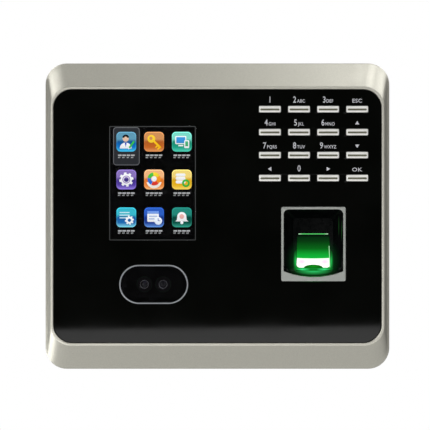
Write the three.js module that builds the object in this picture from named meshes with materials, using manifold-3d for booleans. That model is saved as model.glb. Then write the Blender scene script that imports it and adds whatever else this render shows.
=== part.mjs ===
// Wall-mounted fingerprint terminal: a satin silver front frame around a gloss black panel,
// with a colour screen, a 16-key keypad, a lit fingerprint reader and a twin camera window.
//
// Millimetres. +X is to the right of someone facing the terminal, +Z is up and -Y points out
// of the wall. The origin is the centre of the wall plate's back face, so the wall is y = 0,
// and a "depth" below is a distance out from the wall: y = -depth.

import * as THREE from "three";
import { mergeVertices } from "three/addons/utils/BufferGeometryUtils.js";
import Module from "manifold-3d";

const wasm = await Module();
wasm.setup();

// ---------------------------------------------------------------- driving dimensions

const GAP = 0.3; // clearance between separate pieces

// Housing
const WIDTH = 167.5;
const HEIGHT = 148.8;
const CORNER_R = 10.3;
const DEPTH = 32.2; // wall to the rim of the front frame
const FRAME_WALL = 2.0;
const SIDE_BAND = 4.2; // silver to the left and right of the panel
const TOP_BAND = 13.0; // silver above and below the panel
const RIM_WIDTH = 1.4; // flat lip round the panel
const RIM_BREAK = 0.2; // bevel on the rim's outer edge
const SHOULDER_DROP = 7.0; // fall of the sloped bands from the rim to the side wall
const SHOULDER_R = 0.8; // rounded edge between the bands and the side wall
const SPLIT_DEPTH = 14.0; // seam between front frame and rear cover
const SEAM_STEP = 0.5; // the rear cover is set in by this much at the seam
const TONGUE_WALL = 1.2; // lip of the rear cover that enters the frame
const TONGUE_LENGTH = 2.0;
const FLOOR_T = 2.2; // rear cover's floor
const FOOT_DEPTH = 0.5; // the rear cover's edge stands this far off the wall
const FOOT_WIDTH = 2.0; // width of that edge
const FOOT_CHAMFER = 2.0;
const BULKHEAD_T = 2.0; // web of the frame that carries everything behind the panel

// Wall plate
const PLATE_T = 1.5;
const PLATE_INSET = 8.0; // housing edge to plate edge
const PLATE_R = 6.0;
const PLATE_CLEAR = 1.0; // plate to the rear cover's floor
const ANCHOR_HOLE_R = 2.25; // holes for the wall screws
const ANCHOR_INSET = 13.0;
const HOOK_W = 9.0;
const HOOK_T = 1.2;
const HOOK_RISE = 4.0;
const HOOK_INSET_X = 15.0; // plate edge to hook centre
const HOOK_INSET_Z = 30.0;
const LIP_W = 12.0; // bent lip that takes the lock screw
const LIP_LENGTH = 8.5;
const LIP_SET = 5.2; // housing's bottom edge to the lip's underside

// Fasteners
const SCREW_R = 1.4;
const SCREW_HEAD_R = 2.8;
const SCREW_HEAD_T = 1.8;
const SCREW_LENGTH = 16.0;
const SCREW_SINK = 0.8; // heads lie this far below the cover's floor
const LOCK_SCREW_LENGTH = 6.0;
const BOSS_WALL = 2.2; // plastic round a screw hole
const BOSS_INSET = 11.0; // housing edge to boss centre

// Panel
const PANEL_T = 2.0;
const PANEL_SET = 0.3; // the panel sits this far below the rim
const PANEL_R = 9.0;
const TAPE_T = 0.5;
const TAPE_INSET = 1.0; // panel's edge to the tape's

// Screen
const SCREEN_W = 42.0; // lit area
const SCREEN_H = 55.5;
const SCREEN_INSET_X = 47.95; // panel's left edge to the screen's centre
const SCREEN_INSET_Z = 45.4; // panel's top edge to the screen's centre
const GLASS_BORDER = 4.0;
const GLASS_TAIL = 5.0; // extra glass below the lit area
const GLASS_T = 1.4;
const BACKLIGHT_T = 1.6;
const PAN_WALL = 0.6;

// Keypad
const KEY_W = 10.6;
const KEY_H = 3.1;
const KEY_R = 0.5;
const KEY_PROUD = 1.0; // above the panel's face
const KEY_PITCH_X = 14.15;
const KEY_PITCH_Z = 11.16;
const KEY_COUNT = 4; // columns and rows
const KEY_LIP_X = 0.5; // retaining flange round the cap
const KEY_LIP_Z = 0.8;
const KEY_LIP_T = 0.8;
const KEY_GROOVE_W = 0.7;
const KEY_GROOVE_DEEP = 0.35;
const KEY_GROOVE_END = 0.9; // plain metal left at each end of the groove
const KEYPAD_INSET_X = 32.8; // panel's right edge to the keypad's centre
const KEYPAD_INSET_Z = 26.15; // panel's top edge to the keypad's centre
const KEYPAD_MARGIN = 2.0;
const MAT_BORDER = 2.0; // mat clamped behind the bulkhead
const MAT_T = 0.9;
const BOARD_T = 1.6; // every circuit board

// Fingerprint reader
const READER_W = 31.4;
const READER_H = 36.2;
const READER_R = 0.9;
const READER_BORDER = 1.25;
const READER_PROUD = 1.1;
const READER_LIP_R = 2.4; // top corners of the opening
const READER_SAG = 2.8; // the opening's lower edge bows down by this much
const READER_LOWER_BORDER = 4.9; // silver below the straight part of the sides
const READER_INSET_X = 32.85; // panel's right edge to the reader's centre
const READER_INSET_Z = 75.0; // panel's top edge to the reader's centre
const WELL_FLANGE = 1.5;
const WELL_BACK = 13.0; // length of the well behind the panel
const WELL_TAPER = 4.4; // side walls lean in by this much
const WELL_HIGH = 5.9; // drop to the floor at its upper end
const WELL_LOW = 1.2; // drop to the floor at its lower end
const WELL_TOP_SLOPE = 3.8; // ceiling leans down by this much
const PRISM_TOP_W = 15.2;
const PRISM_LOW_W = 16.8;
const PRISM_H = 17.0;
const PRISM_T = 7.5;
const PRISM_PROUD = 0.3;
const PRISM_DROP = 3.4; // reader centre to prism centre

// Camera window
const CAMERA_W = 33.6;
const CAMERA_H = 19.1;
const CAMERA_RING = 1.2;
const CAMERA_RING_T = 0.7;
const CAMERA_RING_PROUD = 0.2;
const CAMERA_INSET_X = 48.55; // panel's left edge to the window's centre
const CAMERA_INSET_Z = 28.2; // panel's bottom edge to the window's centre
const LENS_SPREAD = 4.55; // half of the distance between the lenses
const LENS_R = 2.1;
const LENS_DOME = 0.7;
const BARREL_WALL = 1.2;
const BARREL_T = 4.5;
const CAMERA_BOARD_W = 30.0;
const CAMERA_BOARD_H = 14.0;

// Main board and what it carries
const MAIN_INSET_X = 13.75; // housing's left edge to the board's left edge
const MAIN_INSET_Z = 22.4; // housing's top and bottom edges to the board's
const MAIN_TO_WELL = 1.5; // board's right edge to the fingerprint well
const MAIN_BACK = 16.4; // depth of the board's back face
const PEG_R = 3.0;
const PEG_INSET = 6.0;
const BAY_W = 66.0; // cable opening in the rear cover's floor
const BAY_H = 34.0;
const BAY_X = -18.0;
const BAY_Z = -29.0;
const BAY_R = 2.0;
const BAY_MARGIN = 2.0; // the wall plate's opening is smaller by this much all round
const JACK_Z = -20.0; // row of sockets in the upper part of the bay
const ETHERNET_W = 16.0;
const ETHERNET_H = 15.0;
const ETHERNET_MOUTH_W = 11.9;
const ETHERNET_MOUTH_H = 8.4;
const ETHERNET_DEEP = 11.0;
const ETHERNET_X = -37.0;
const POWER_W = 10.0;
const POWER_H = 8.0;
const POWER_WALL = 1.0;
const POWER_DEEP = 6.0;
const POWER_X = -18.0;
const TERMINAL_W = 22.0;
const TERMINAL_H = 8.0;
const TERMINAL_WAYS = 6;
const TERMINAL_HOLE_R = 1.2;
const TERMINAL_DEEP = 7.0;
const TERMINAL_X = 1.0;
const JACK_LENGTH = 13.5;
const CHIP_SIZE = 16.0;
const CHIP_Z = 20.0;
const CHIP_T = 1.5;
const CELL_R = 10.0;
const CELL_X = 5.0;
const CELL_Z = -30.0;
const CELL_T = 3.2;
const RELAY_W = 19.0;
const RELAY_X = -50.0;
const RELAY_Z = 18.0;
const RELAY_H = 15.0;
const RELAY_T = 10.0;
const SPEAKER_W = 30.0;
const SPEAKER_DEEP = 8.0; // size along Y
const SPEAKER_T = 5.0;
const SPEAKER_X = -50.0;
const SPEAKER_MID = 9.0; // depth of its centre line
const GRILLE_SLOTS = 7;
const GRILLE_PITCH = 3.4;
const GRILLE_SLOT = 1.5;
const TAMPER_X = 20.0;
const TAMPER_Z = 38.0;
const TAMPER_SIZE = 8.0;
const TAMPER_T = 7.0;
const PLUNGER_R = 1.2;
const PLUNGER_HEAD_R = 2.4;
const PLUNGER_HEAD_T = 4.2;
const PLUNGER_TRAVEL = 0.8;

// USB port and its rubber flap, in the bottom edge of the rear cover
const USB_X = 50.0;
const USB_MID = 8.6; // depth of its centre line
const USB_W = 13.1;
const USB_T = 5.8;
const USB_SHELL = 0.4;
const USB_LENGTH = 14.0;
const USB_TONGUE = 1.6;
const USB_TONGUE_SET = 2.0;
const FLAP_W = 18.0;
const FLAP_H = 7.6;
const FLAP_T = 1.2;
const FLAP_R = 1.5;

// ---------------------------------------------------------------- places worked out from them

const PANEL_W = WIDTH - 2 * SIDE_BAND;
const PANEL_H = HEIGHT - 2 * TOP_BAND;
const PANEL_FRONT = DEPTH - PANEL_SET;
const PANEL_BACK = PANEL_FRONT - PANEL_T;
const TAPE_BACK = PANEL_BACK - GAP - TAPE_T;
const BULKHEAD_FRONT = TAPE_BACK - GAP;
const BULKHEAD_BACK = BULKHEAD_FRONT - BULKHEAD_T;
const FLOOR_BACK = PLATE_T + PLATE_CLEAR;
const FLOOR_FRONT = FLOOR_BACK + FLOOR_T;
const COVER_FRONT = SPLIT_DEPTH - GAP;
const BOSS_X = WIDTH / 2 - BOSS_INSET;
const BOSS_Z = HEIGHT / 2 - BOSS_INSET;
const BOSS_R = SCREW_R + GAP + BOSS_WALL;
const MAIN_FRONT = MAIN_BACK + BOARD_T;
const JACK_BACK = MAIN_BACK - GAP - JACK_LENGTH;
const MAIN_SIDE = MAIN_FRONT + GAP; // where parts stand on the board's front
const MAIN_H = HEIGHT - 2 * MAIN_INSET_Z;
const COVER_BOTTOM = -(HEIGHT / 2 - SEAM_STEP); // underside of the rear cover
const COVER_INSIDE = FRAME_WALL + GAP + TONGUE_WALL; // housing edge to the cover's inner wall
const COVER_BOTTOM_INSIDE = -(HEIGHT / 2 - COVER_INSIDE);
const SCREEN_X = -PANEL_W / 2 + SCREEN_INSET_X;
const SCREEN_Z = PANEL_H / 2 - SCREEN_INSET_Z;
const GLASS_W = SCREEN_W + 2 * GLASS_BORDER;
const GLASS_H = SCREEN_H + 2 * GLASS_BORDER + GLASS_TAIL;
const GLASS_Z = SCREEN_Z - GLASS_TAIL / 2;
const PAN_W = GLASS_W + 2 * (GAP + PAN_WALL);
const PAN_H = GLASS_H + 2 * (GAP + PAN_WALL);
const KEYPAD_X = PANEL_W / 2 - KEYPAD_INSET_X;
const KEYPAD_Z = PANEL_H / 2 - KEYPAD_INSET_Z;
const KEYPAD_W = (KEY_COUNT - 1) * KEY_PITCH_X + KEY_W + 2 * KEYPAD_MARGIN;
const KEYPAD_H = (KEY_COUNT - 1) * KEY_PITCH_Z + KEY_H + 2 * KEYPAD_MARGIN;
const MAT_FRONT = BULKHEAD_BACK - GAP;
const MAT_BACK = MAT_FRONT - MAT_T;
const READER_X = PANEL_W / 2 - READER_INSET_X;
const READER_Z = PANEL_H / 2 - READER_INSET_Z;
const WELL_FRONT = PANEL_BACK - GAP;
const WELL_W = READER_W + 2 * WELL_FLANGE;
const WELL_H = READER_H + 2 * WELL_FLANGE;
const MAIN_LEFT = -WIDTH / 2 + MAIN_INSET_X;
const MAIN_RIGHT = READER_X - WELL_W / 2 - MAIN_TO_WELL;
const MAIN_W = MAIN_RIGHT - MAIN_LEFT;
const MAIN_X = (MAIN_RIGHT + MAIN_LEFT) / 2;
const CAMERA_X = -PANEL_W / 2 + CAMERA_INSET_X;
const CAMERA_Z = -PANEL_H / 2 + CAMERA_INSET_Z;
const BARREL_R = LENS_R + GAP + BARREL_WALL;
const BARREL_FRONT = TAPE_BACK;
const CAMERA_BOARD_FRONT = BARREL_FRONT - BARREL_T - GAP;
const READER_BOARD_FRONT = WELL_FRONT - WELL_BACK - GAP;
const LOCK_DEPTH = FLOOR_FRONT + SCREW_HEAD_R - 0.4; // lock screw's axis
const FLAP_RECESS = FLAP_T + GAP;
const USB_MOUTH = COVER_BOTTOM + FLAP_RECESS + GAP; // lowest point of the USB socket

const ARC_STEPS = 6; // straight pieces in a large rounded corner
const SMALL_R = 2.0; // corners tighter than this take fewer
const SMALL_ARC_STEPS = 2;
const ROUND_STEPS = 16; // sides of a round part

// ---------------------------------------------------------------- materials

function finish(color, roughness, metalness) {
  return new THREE.MeshStandardMaterial({ color, roughness, metalness });
}

const silverPaint = finish(0xa8a69a, 0.38, 0.6);
const blackAcrylic = finish(0x070805, 0.06, 0.0);
const blackPlastic = finish(0x1b1c1c, 0.6, 0.0);
const brightPlate = finish(0xd8d6cc, 0.25, 0.8);
const foamTape = finish(0x141414, 0.9, 0.0);
const silicone = finish(0x8f9290, 0.8, 0.0);
const boardGreen = finish(0x1d5a36, 0.5, 0.0);
const litGlass = finish(0x12a045, 0.1, 0.0);
const lampWhite = finish(0xf2f5f0, 0.4, 0.0);
const screenGlass = finish(0x15161a, 0.08, 0.0);
const whitePlastic = finish(0xe4e4df, 0.6, 0.0);
const sheetSteel = finish(0xa4a6a5, 0.4, 0.9);
const lensGlass = finish(0x101316, 0.05, 0.0);
const blackRubber = finish(0x202020, 0.85, 0.0);
const terminalGreen = finish(0x2f7d4a, 0.6, 0.0);
const chipBlack = finish(0x151515, 0.7, 0.0);
const ribbonFilm = finish(0xb9763a, 0.5, 0.0);
const screwSteel = finish(0x9c9c98, 0.35, 0.9);

// ---------------------------------------------------------------- solid helpers

// Turns a closed geometry into a solid that can be joined and cut.
function toSolid(geometry) {
  const bare = geometry.clone();
  bare.deleteAttribute("normal");
  bare.deleteAttribute("uv");
  const merged = mergeVertices(bare, 1e-4);
  const vertProperties = new Float32Array(merged.attributes.position.array);
  const triVerts = new Uint32Array(merged.index.array);
  return new wasm.Manifold(new wasm.Mesh({ numProp: 3, vertProperties, triVerts }));
}

function toGeometry(solid) {
  const mesh = solid.getMesh();
  const geometry = new THREE.BufferGeometry();
  geometry.setAttribute("position", new THREE.BufferAttribute(mesh.vertProperties, 3));
  geometry.setIndex(new THREE.BufferAttribute(mesh.triVerts, 1));
  return geometry;
}

function join(geometry, additions) {
  const whole = additions.reduce((solid, extra) => solid.add(toSolid(extra)), toSolid(geometry));
  return toGeometry(whole);
}

function cut(geometry, cutters) {
  const rest = cutters.reduce((solid, cutter) => solid.subtract(toSolid(cutter)), toSolid(geometry));
  return toGeometry(rest);
}

function box(w, h, back, front, x = 0, z = 0) {
  const geometry = new THREE.BoxGeometry(w, front - back, h);
  return geometry.translate(x, -(front + back) / 2, z);
}

// A round bar along Y.
function rod(r, back, front, x = 0, z = 0) {
  const geometry = new THREE.CylinderGeometry(r, r, front - back, ROUND_STEPS);
  return geometry.translate(x, -(front + back) / 2, z);
}

// A round bar along Z.
function upright(r, bottom, top, x, depth) {
  const geometry = new THREE.CylinderGeometry(r, r, top - bottom, ROUND_STEPS);
  geometry.rotateX(Math.PI / 2);
  return geometry.translate(x, -depth, (top + bottom) / 2);
}

// An outline drawn in x and z, as thick as the two depths say.
function slab(shape, back, front, x = 0, z = 0, curveSegments = ARC_STEPS) {
  const settings = { depth: front - back, bevelEnabled: false, curveSegments };
  const geometry = new THREE.ExtrudeGeometry(shape, settings);
  geometry.rotateX(Math.PI / 2);
  return geometry.translate(x, -back, z);
}

function roundedShape(w, h, r, Kind = THREE.Shape) {
  const x = w / 2 - r;
  const z = h / 2 - r;
  const shape = new Kind();
  shape.moveTo(-x, -z - r);
  shape.absarc(x, -z, r, -Math.PI / 2, 0);
  shape.absarc(x, z, r, 0, Math.PI / 2);
  shape.absarc(-x, z, r, Math.PI / 2, Math.PI);
  shape.absarc(-x, -z, r, Math.PI, Math.PI * 1.5);
  return shape;
}

// One ring of a loft: a rounded rectangle at a depth, anticlockwise seen from the front.
function ring(w, h, r, depth, x = 0, z = 0) {
  const points = [];
  const steps = r < SMALL_R ? SMALL_ARC_STEPS : ARC_STEPS;
  const centres = [[1, -1], [1, 1], [-1, 1], [-1, -1]];
  centres.forEach(([sideX, sideZ], corner) => {
    for (let step = 0; step <= steps; step += 1) {
      const angle = (corner - 1 + step / steps) * (Math.PI / 2);
      const px = x + sideX * (w / 2 - r) + r * Math.cos(angle);
      const pz = z + sideZ * (h / 2 - r) + r * Math.sin(angle);
      points.push(new THREE.Vector3(px, -depth, pz));
    }
  });
  return points;
}

// A closed skin through rings with equal point counts, from a front cap to a back cap.
function loft(rings) {
  const count = rings[0].length;
  const points = rings.flat();
  const index = [];
  for (let row = 0; row + 1 < rings.length; row += 1) {
    for (let i = 0; i < count; i += 1) {
      const a = row * count + i;
      const b = row * count + ((i + 1) % count);
      index.push(a, a + count, b + count, a, b + count, b);
    }
  }
  const last = (rings.length - 1) * count;
  for (let i = 1; i + 1 < count; i += 1) {
    index.push(0, i, i + 1);
    index.push(last, last + i + 1, last + i);
  }
  const geometry = new THREE.BufferGeometry().setFromPoints(points);
  geometry.setIndex(index);
  return geometry;
}

const SWEEP_STEPS = 12;

// A smooth route through [x, depth, z] points.
function route(points) {
  return new THREE.CatmullRomCurve3(points.map(([x, depth, z]) => new THREE.Vector3(x, -depth, z)));
}

// A round lead swept along a route.
function lead(r, points) {
  const section = new THREE.Shape().absarc(0, 0, r, 0, Math.PI * 2);
  const sweep = { steps: SWEEP_STEPS, extrudePath: route(points) };
  return new THREE.ExtrudeGeometry(section, { ...sweep, bevelEnabled: false, curveSegments: 4 });
}

// A flat ribbon swept along a route.
function strip(w, t, points) {
  const section = new THREE.Shape();
  section.moveTo(-w / 2, -t / 2);
  section.lineTo(w / 2, -t / 2);
  section.lineTo(w / 2, t / 2);
  section.lineTo(-w / 2, t / 2);
  const settings = { steps: SWEEP_STEPS, extrudePath: route(points), bevelEnabled: false };
  return new THREE.ExtrudeGeometry(section, settings);
}

// Calls back at the four corners of a rectangle.
function corners(x, z, make) {
  return [[-x, -z], [x, -z], [-x, z], [x, z]].map(([cx, cz]) => make(cx, cz));
}

const terminal = new THREE.Group();

function add(name, geometry, material, x = 0, z = 0) {
  const mesh = new THREE.Mesh(geometry, material);
  mesh.name = name;
  mesh.position.set(x, 0, z);
  terminal.add(mesh);
}

// ---------------------------------------------------------------- front frame

// Rectangular windows through the frame's bulkhead, as [w, h, x, z].
const BULKHEAD_WINDOWS = [
  [PAN_W + 2 * GAP, PAN_H + 2 * GAP, SCREEN_X, GLASS_Z],
  [KEYPAD_W, KEYPAD_H, KEYPAD_X, KEYPAD_Z],
  [WELL_W + 2 * GAP, WELL_H + 2 * GAP, READER_X, READER_Z],
  [2 * (LENS_SPREAD + BARREL_R + GAP), 2 * (BARREL_R + GAP), CAMERA_X, CAMERA_Z],
];

function frontFrame() {
  const recess = 2 * GAP;
  const rim = recess + 2 * RIM_WIDTH;
  const crest = rim + 2 * RIM_BREAK;
  const low = DEPTH - SHOULDER_DROP;
  const fall = SHOULDER_DROP - RIM_BREAK;
  const cross = (DEPTH - RIM_BREAK - BULKHEAD_BACK) / fall;
  // Inside size of the band where it meets the bulkhead's back.
  const inner = (outside, panel) => {
    const run = (outside - panel - crest) / 2 - SHOULDER_R;
    return panel + crest + 2 * (run * cross - (FRAME_WALL * Math.hypot(run, fall)) / fall);
  };
  const insideW = WIDTH - 2 * FRAME_WALL;
  const insideH = HEIGHT - 2 * FRAME_WALL;
  const insideR = CORNER_R - FRAME_WALL;
  const soft = SHOULDER_R * (1 - Math.SQRT1_2); // middle of the rounded shoulder
  const shell = loft([
    ring(PANEL_W + recess, PANEL_H + recess, PANEL_R + GAP, BULKHEAD_FRONT),
    ring(PANEL_W + recess, PANEL_H + recess, PANEL_R + GAP, DEPTH),
    ring(PANEL_W + rim, PANEL_H + rim, PANEL_R + rim / 2, DEPTH),
    ring(PANEL_W + crest, PANEL_H + crest, PANEL_R + crest / 2, DEPTH - RIM_BREAK),
    ring(WIDTH - 2 * SHOULDER_R, HEIGHT - 2 * SHOULDER_R, CORNER_R - SHOULDER_R, low),
    ring(WIDTH - 2 * soft, HEIGHT - 2 * soft, CORNER_R - soft, low - soft),
    ring(WIDTH, HEIGHT, CORNER_R, low - SHOULDER_R),
    ring(WIDTH, HEIGHT, CORNER_R, SPLIT_DEPTH),
    ring(insideW, insideH, insideR, SPLIT_DEPTH),
    ring(insideW, insideH, insideR, low - 1.5 * FRAME_WALL),
    ring(inner(WIDTH, PANEL_W), inner(HEIGHT, PANEL_H), insideR, BULKHEAD_BACK),
  ]);
  const bosses = corners(BOSS_X, BOSS_Z, (x, z) => rod(BOSS_R, SPLIT_DEPTH, BULKHEAD_BACK + 0.5, x, z));
  const bores = corners(BOSS_X, BOSS_Z, (x, z) => rod(SCREW_R + GAP, 0, SPLIT_DEPTH + 9.5, x, z));
  const windows = BULKHEAD_WINDOWS.map(([w, h, x, z]) => box(w, h, BULKHEAD_BACK - 1, DEPTH, x, z));
  return cut(join(shell, bosses), [...bores, ...windows]);
}

// ---------------------------------------------------------------- front panel and its tape

// The reader's opening: rounded at the top, bowed down at the bottom.
function readerOpening(inset, Kind = THREE.Shape) {
  const x = READER_W / 2 - READER_BORDER - inset;
  const top = READER_H / 2 - READER_BORDER - inset;
  const side = -READER_H / 2 + READER_LOWER_BORDER + inset;
  const r = READER_LIP_R;
  const bow = (x * x + READER_SAG * READER_SAG) / (2 * READER_SAG); // radius of the lower edge
  const half = Math.asin(x / bow);
  const shape = new Kind();
  shape.moveTo(x, side);
  shape.absarc(x - r, top - r, r, 0, Math.PI / 2);
  shape.absarc(-x + r, top - r, r, Math.PI / 2, Math.PI);
  shape.absarc(0, side - READER_SAG + bow, bow, -Math.PI / 2 - half, -Math.PI / 2 + half);
  return shape;
}

function stadium(w, h, Kind = THREE.Shape) {
  return roundedShape(w, h, h / 2 - 0.01, Kind);
}

function eachKey(make) {
  const places = [];
  for (let row = 0; row < KEY_COUNT; row += 1) {
    for (let column = 0; column < KEY_COUNT; column += 1) {
      const x = (column - (KEY_COUNT - 1) / 2) * KEY_PITCH_X;
      const z = ((KEY_COUNT - 1) / 2 - row) * KEY_PITCH_Z;
      places.push(make(x, z, row * KEY_COUNT + column));
    }
  }
  return places;
}

function frontPanel() {
  const shape = roundedShape(PANEL_W, PANEL_H, PANEL_R);
  const plain = slab(shape, PANEL_BACK, PANEL_FRONT);
  const through = [PANEL_BACK - 1, PANEL_FRONT + 1];
  const keyHole = roundedShape(KEY_W + 2 * GAP, KEY_H + 2 * GAP, KEY_R + GAP);
  const keyHoles = eachKey((x, z) =>
    slab(keyHole, ...through, KEYPAD_X + x, KEYPAD_Z + z, SMALL_ARC_STEPS));
  const readerHole = roundedShape(READER_W + 2 * GAP, READER_H + 2 * GAP, READER_R + GAP);
  const ringFloor = PANEL_FRONT + CAMERA_RING_PROUD - CAMERA_RING_T - GAP;
  const groove = stadium(CAMERA_W + 2 * GAP, CAMERA_H + 2 * GAP);
  const ridge = 2 * (CAMERA_RING + GAP);
  groove.holes.push(stadium(CAMERA_W - ridge, CAMERA_H - ridge, THREE.Path));
  return cut(plain, [
    ...keyHoles,
    slab(readerHole, ...through, READER_X, READER_Z),
    slab(groove, ringFloor, PANEL_FRONT + 1, CAMERA_X, CAMERA_Z),
  ]);
}

function panelAdhesive() {
  const outline = roundedShape(PANEL_W - 2 * TAPE_INSET, PANEL_H - 2 * TAPE_INSET, PANEL_R - TAPE_INSET);
  const sheet = slab(outline, TAPE_BACK, TAPE_BACK + TAPE_T);
  const windows = [
    [SCREEN_W + 2, SCREEN_H + 2, SCREEN_X, SCREEN_Z],
    ...BULKHEAD_WINDOWS.slice(1),
  ];
  return cut(sheet, windows.map(([w, h, x, z]) => box(w, h, TAPE_BACK - 1, PANEL_BACK, x, z)));
}

// ---------------------------------------------------------------- screen

const BACKLIGHT_FRONT = BULKHEAD_FRONT - GLASS_T - GAP;
const PAN_FLOOR_FRONT = BACKLIGHT_FRONT - BACKLIGHT_T - GAP;

function screenPan() {
  const floorBack = PAN_FLOOR_FRONT - PAN_WALL;
  const tray = box(PAN_W, PAN_H, floorBack, BULKHEAD_FRONT - GAP);
  const pocket = box(GLASS_W + 2 * GAP, GLASS_H + 2 * GAP, PAN_FLOOR_FRONT, DEPTH);
  return cut(tray, [pocket]);
}

// ---------------------------------------------------------------- keypad

// A bar key: cap with a groove across its face, retaining flange, and a foot on the dome.
function keyCap() {
  const face = PANEL_FRONT + KEY_PROUD;
  const cap = slab(roundedShape(KEY_W, KEY_H, KEY_R), WELL_FRONT - 0.1, face, 0, 0, SMALL_ARC_STEPS);
  const flange = box(KEY_W + 2 * KEY_LIP_X, KEY_H + 2 * KEY_LIP_Z, WELL_FRONT - KEY_LIP_T, WELL_FRONT);
  const groove = box(KEY_W - 2 * KEY_GROOVE_END, KEY_GROOVE_W, face - KEY_GROOVE_DEEP, face + 1);
  return cut(join(cap, [flange]), [groove]);
}

// Silicone mat with one dome under each key.
function keypadMat() {
  const mat = box(KEYPAD_W + 2 * MAT_BORDER, KEYPAD_H + 2 * MAT_BORDER, MAT_BACK, MAT_FRONT);
  const domeFront = WELL_FRONT - KEY_LIP_T - GAP;
  const domes = eachKey((x, z) => loft([
    ring(KEY_W - 3, KEY_H - 1.2, 0.8, domeFront, x, z),
    ring(KEY_W - 1, KEY_H + 0.8, 1.2, MAT_FRONT - 0.2, x, z),
  ]));
  return join(mat, domes);
}

// ---------------------------------------------------------------- fingerprint reader

function readerBezel() {
  const outline = roundedShape(READER_W, READER_H, READER_R);
  outline.holes.push(readerOpening(0, THREE.Path));
  return slab(outline, PANEL_BACK, PANEL_FRONT + READER_PROUD);
}

// The floor of the well leans back towards its upper end, and the prism lies in it.
const WELL_TOP = READER_H / 2 - READER_BORDER - 0.5;
const WELL_BOTTOM = -READER_H / 2 + READER_LOWER_BORDER;
const FLOOR_TOP = WELL_TOP - WELL_TOP_SLOPE;
const FLOOR_LEAN = Math.atan2(WELL_HIGH - WELL_LOW, FLOOR_TOP - WELL_BOTTOM);
const PRISM_FACE = WELL_FRONT - WELL_LOW - (-PRISM_DROP - WELL_BOTTOM) * Math.tan(FLOOR_LEAN);

// The prism's block: front face in the floor's plane, grown by a clearance where it is cut out.
function prismBlock(clearance, length, proud) {
  const h = PRISM_H / 2 + clearance;
  const shape = new THREE.Shape();
  shape.moveTo(-PRISM_LOW_W / 2 - clearance, -h);
  shape.lineTo(PRISM_LOW_W / 2 + clearance, -h);
  shape.lineTo(PRISM_TOP_W / 2 + clearance, h);
  shape.lineTo(-PRISM_TOP_W / 2 - clearance, h);
  const block = slab(shape, -length, proud);
  block.rotateX(-FLOOR_LEAN);
  return block.translate(0, -PRISM_FACE, -PRISM_DROP);
}

function wellCavity() {
  const halfW = READER_W / 2 - READER_BORDER - 0.4;
  const mouth = [[halfW, WELL_BOTTOM], [halfW, WELL_TOP], [-halfW, WELL_TOP], [-halfW, WELL_BOTTOM]];
  const floorW = halfW - WELL_TAPER;
  const front = mouth.map(([x, z]) => new THREE.Vector3(x, -WELL_FRONT - 0.01, z));
  const back = [
    new THREE.Vector3(floorW, -WELL_FRONT + WELL_LOW, WELL_BOTTOM),
    new THREE.Vector3(floorW, -WELL_FRONT + WELL_HIGH, FLOOR_TOP),
    new THREE.Vector3(-floorW, -WELL_FRONT + WELL_HIGH, FLOOR_TOP),
    new THREE.Vector3(-floorW, -WELL_FRONT + WELL_LOW, WELL_BOTTOM),
  ];
  return loft([front, back]);
}

function readerWell() {
  const backDepth = WELL_FRONT - WELL_BACK;
  const body = slab(roundedShape(WELL_W, WELL_H, READER_R + WELL_FLANGE), backDepth, WELL_FRONT);
  return cut(body, [wellCavity(), prismBlock(GAP, 2 * WELL_BACK, 0.05)]);
}

const LAMP_Z = -PRISM_DROP - PRISM_H / 2 + 4.5;
const LAMP_W = 12.0;
const LAMP_H = 3.0;
const LAMP_T = 1.2;

// Sensor board with the barrel of the sensor's lens standing on it.
function readerBoard() {
  const board = box(WELL_W - 2, WELL_H - 4, READER_BOARD_FRONT - BOARD_T, READER_BOARD_FRONT);
  return join(board, [rod(3.2, READER_BOARD_FRONT - 0.2, READER_BOARD_FRONT + 1.5)]);
}

// ---------------------------------------------------------------- cameras

function cameraRing() {
  const outline = stadium(CAMERA_W, CAMERA_H);
  outline.holes.push(stadium(CAMERA_W - 2 * CAMERA_RING, CAMERA_H - 2 * CAMERA_RING, THREE.Path));
  const front = PANEL_FRONT + CAMERA_RING_PROUD;
  return slab(outline, front - CAMERA_RING_T, front);
}

function cameraBarrel() {
  const socket = rod(LENS_R + GAP, BARREL_FRONT - BARREL_T + 1, DEPTH);
  return cut(rod(BARREL_R, BARREL_FRONT - BARREL_T, BARREL_FRONT), [socket]);
}

// A plano-convex lens on the floor of its barrel.
function cameraLens() {
  const back = BARREL_FRONT - BARREL_T + 1 + GAP;
  const profile = [new THREE.Vector2(0, -back), new THREE.Vector2(LENS_R, -back)];
  for (let step = 0; step <= ARC_STEPS; step += 1) {
    const angle = (step / ARC_STEPS) * (Math.PI / 2);
    const bulge = LENS_DOME * Math.sin(angle);
    profile.push(new THREE.Vector2(LENS_R * Math.cos(angle), -(BARREL_FRONT - 1 + bulge)));
  }
  profile.reverse();
  profile[0].x = 0;
  return new THREE.LatheGeometry(profile, ROUND_STEPS);
}

// ---------------------------------------------------------------- rear cover

const FOOT_SET = SEAM_STEP + FOOT_CHAMFER;
const PLATE_W = WIDTH - 2 * PLATE_INSET;
const PLATE_H = HEIGHT - 2 * PLATE_INSET;
const HOOK_X = PLATE_W / 2 - HOOK_INSET_X;
const HOOK_Z = PLATE_H / 2 - HOOK_INSET_Z;
const LIP_BOTTOM = -HEIGHT / 2 + LIP_SET;

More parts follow.
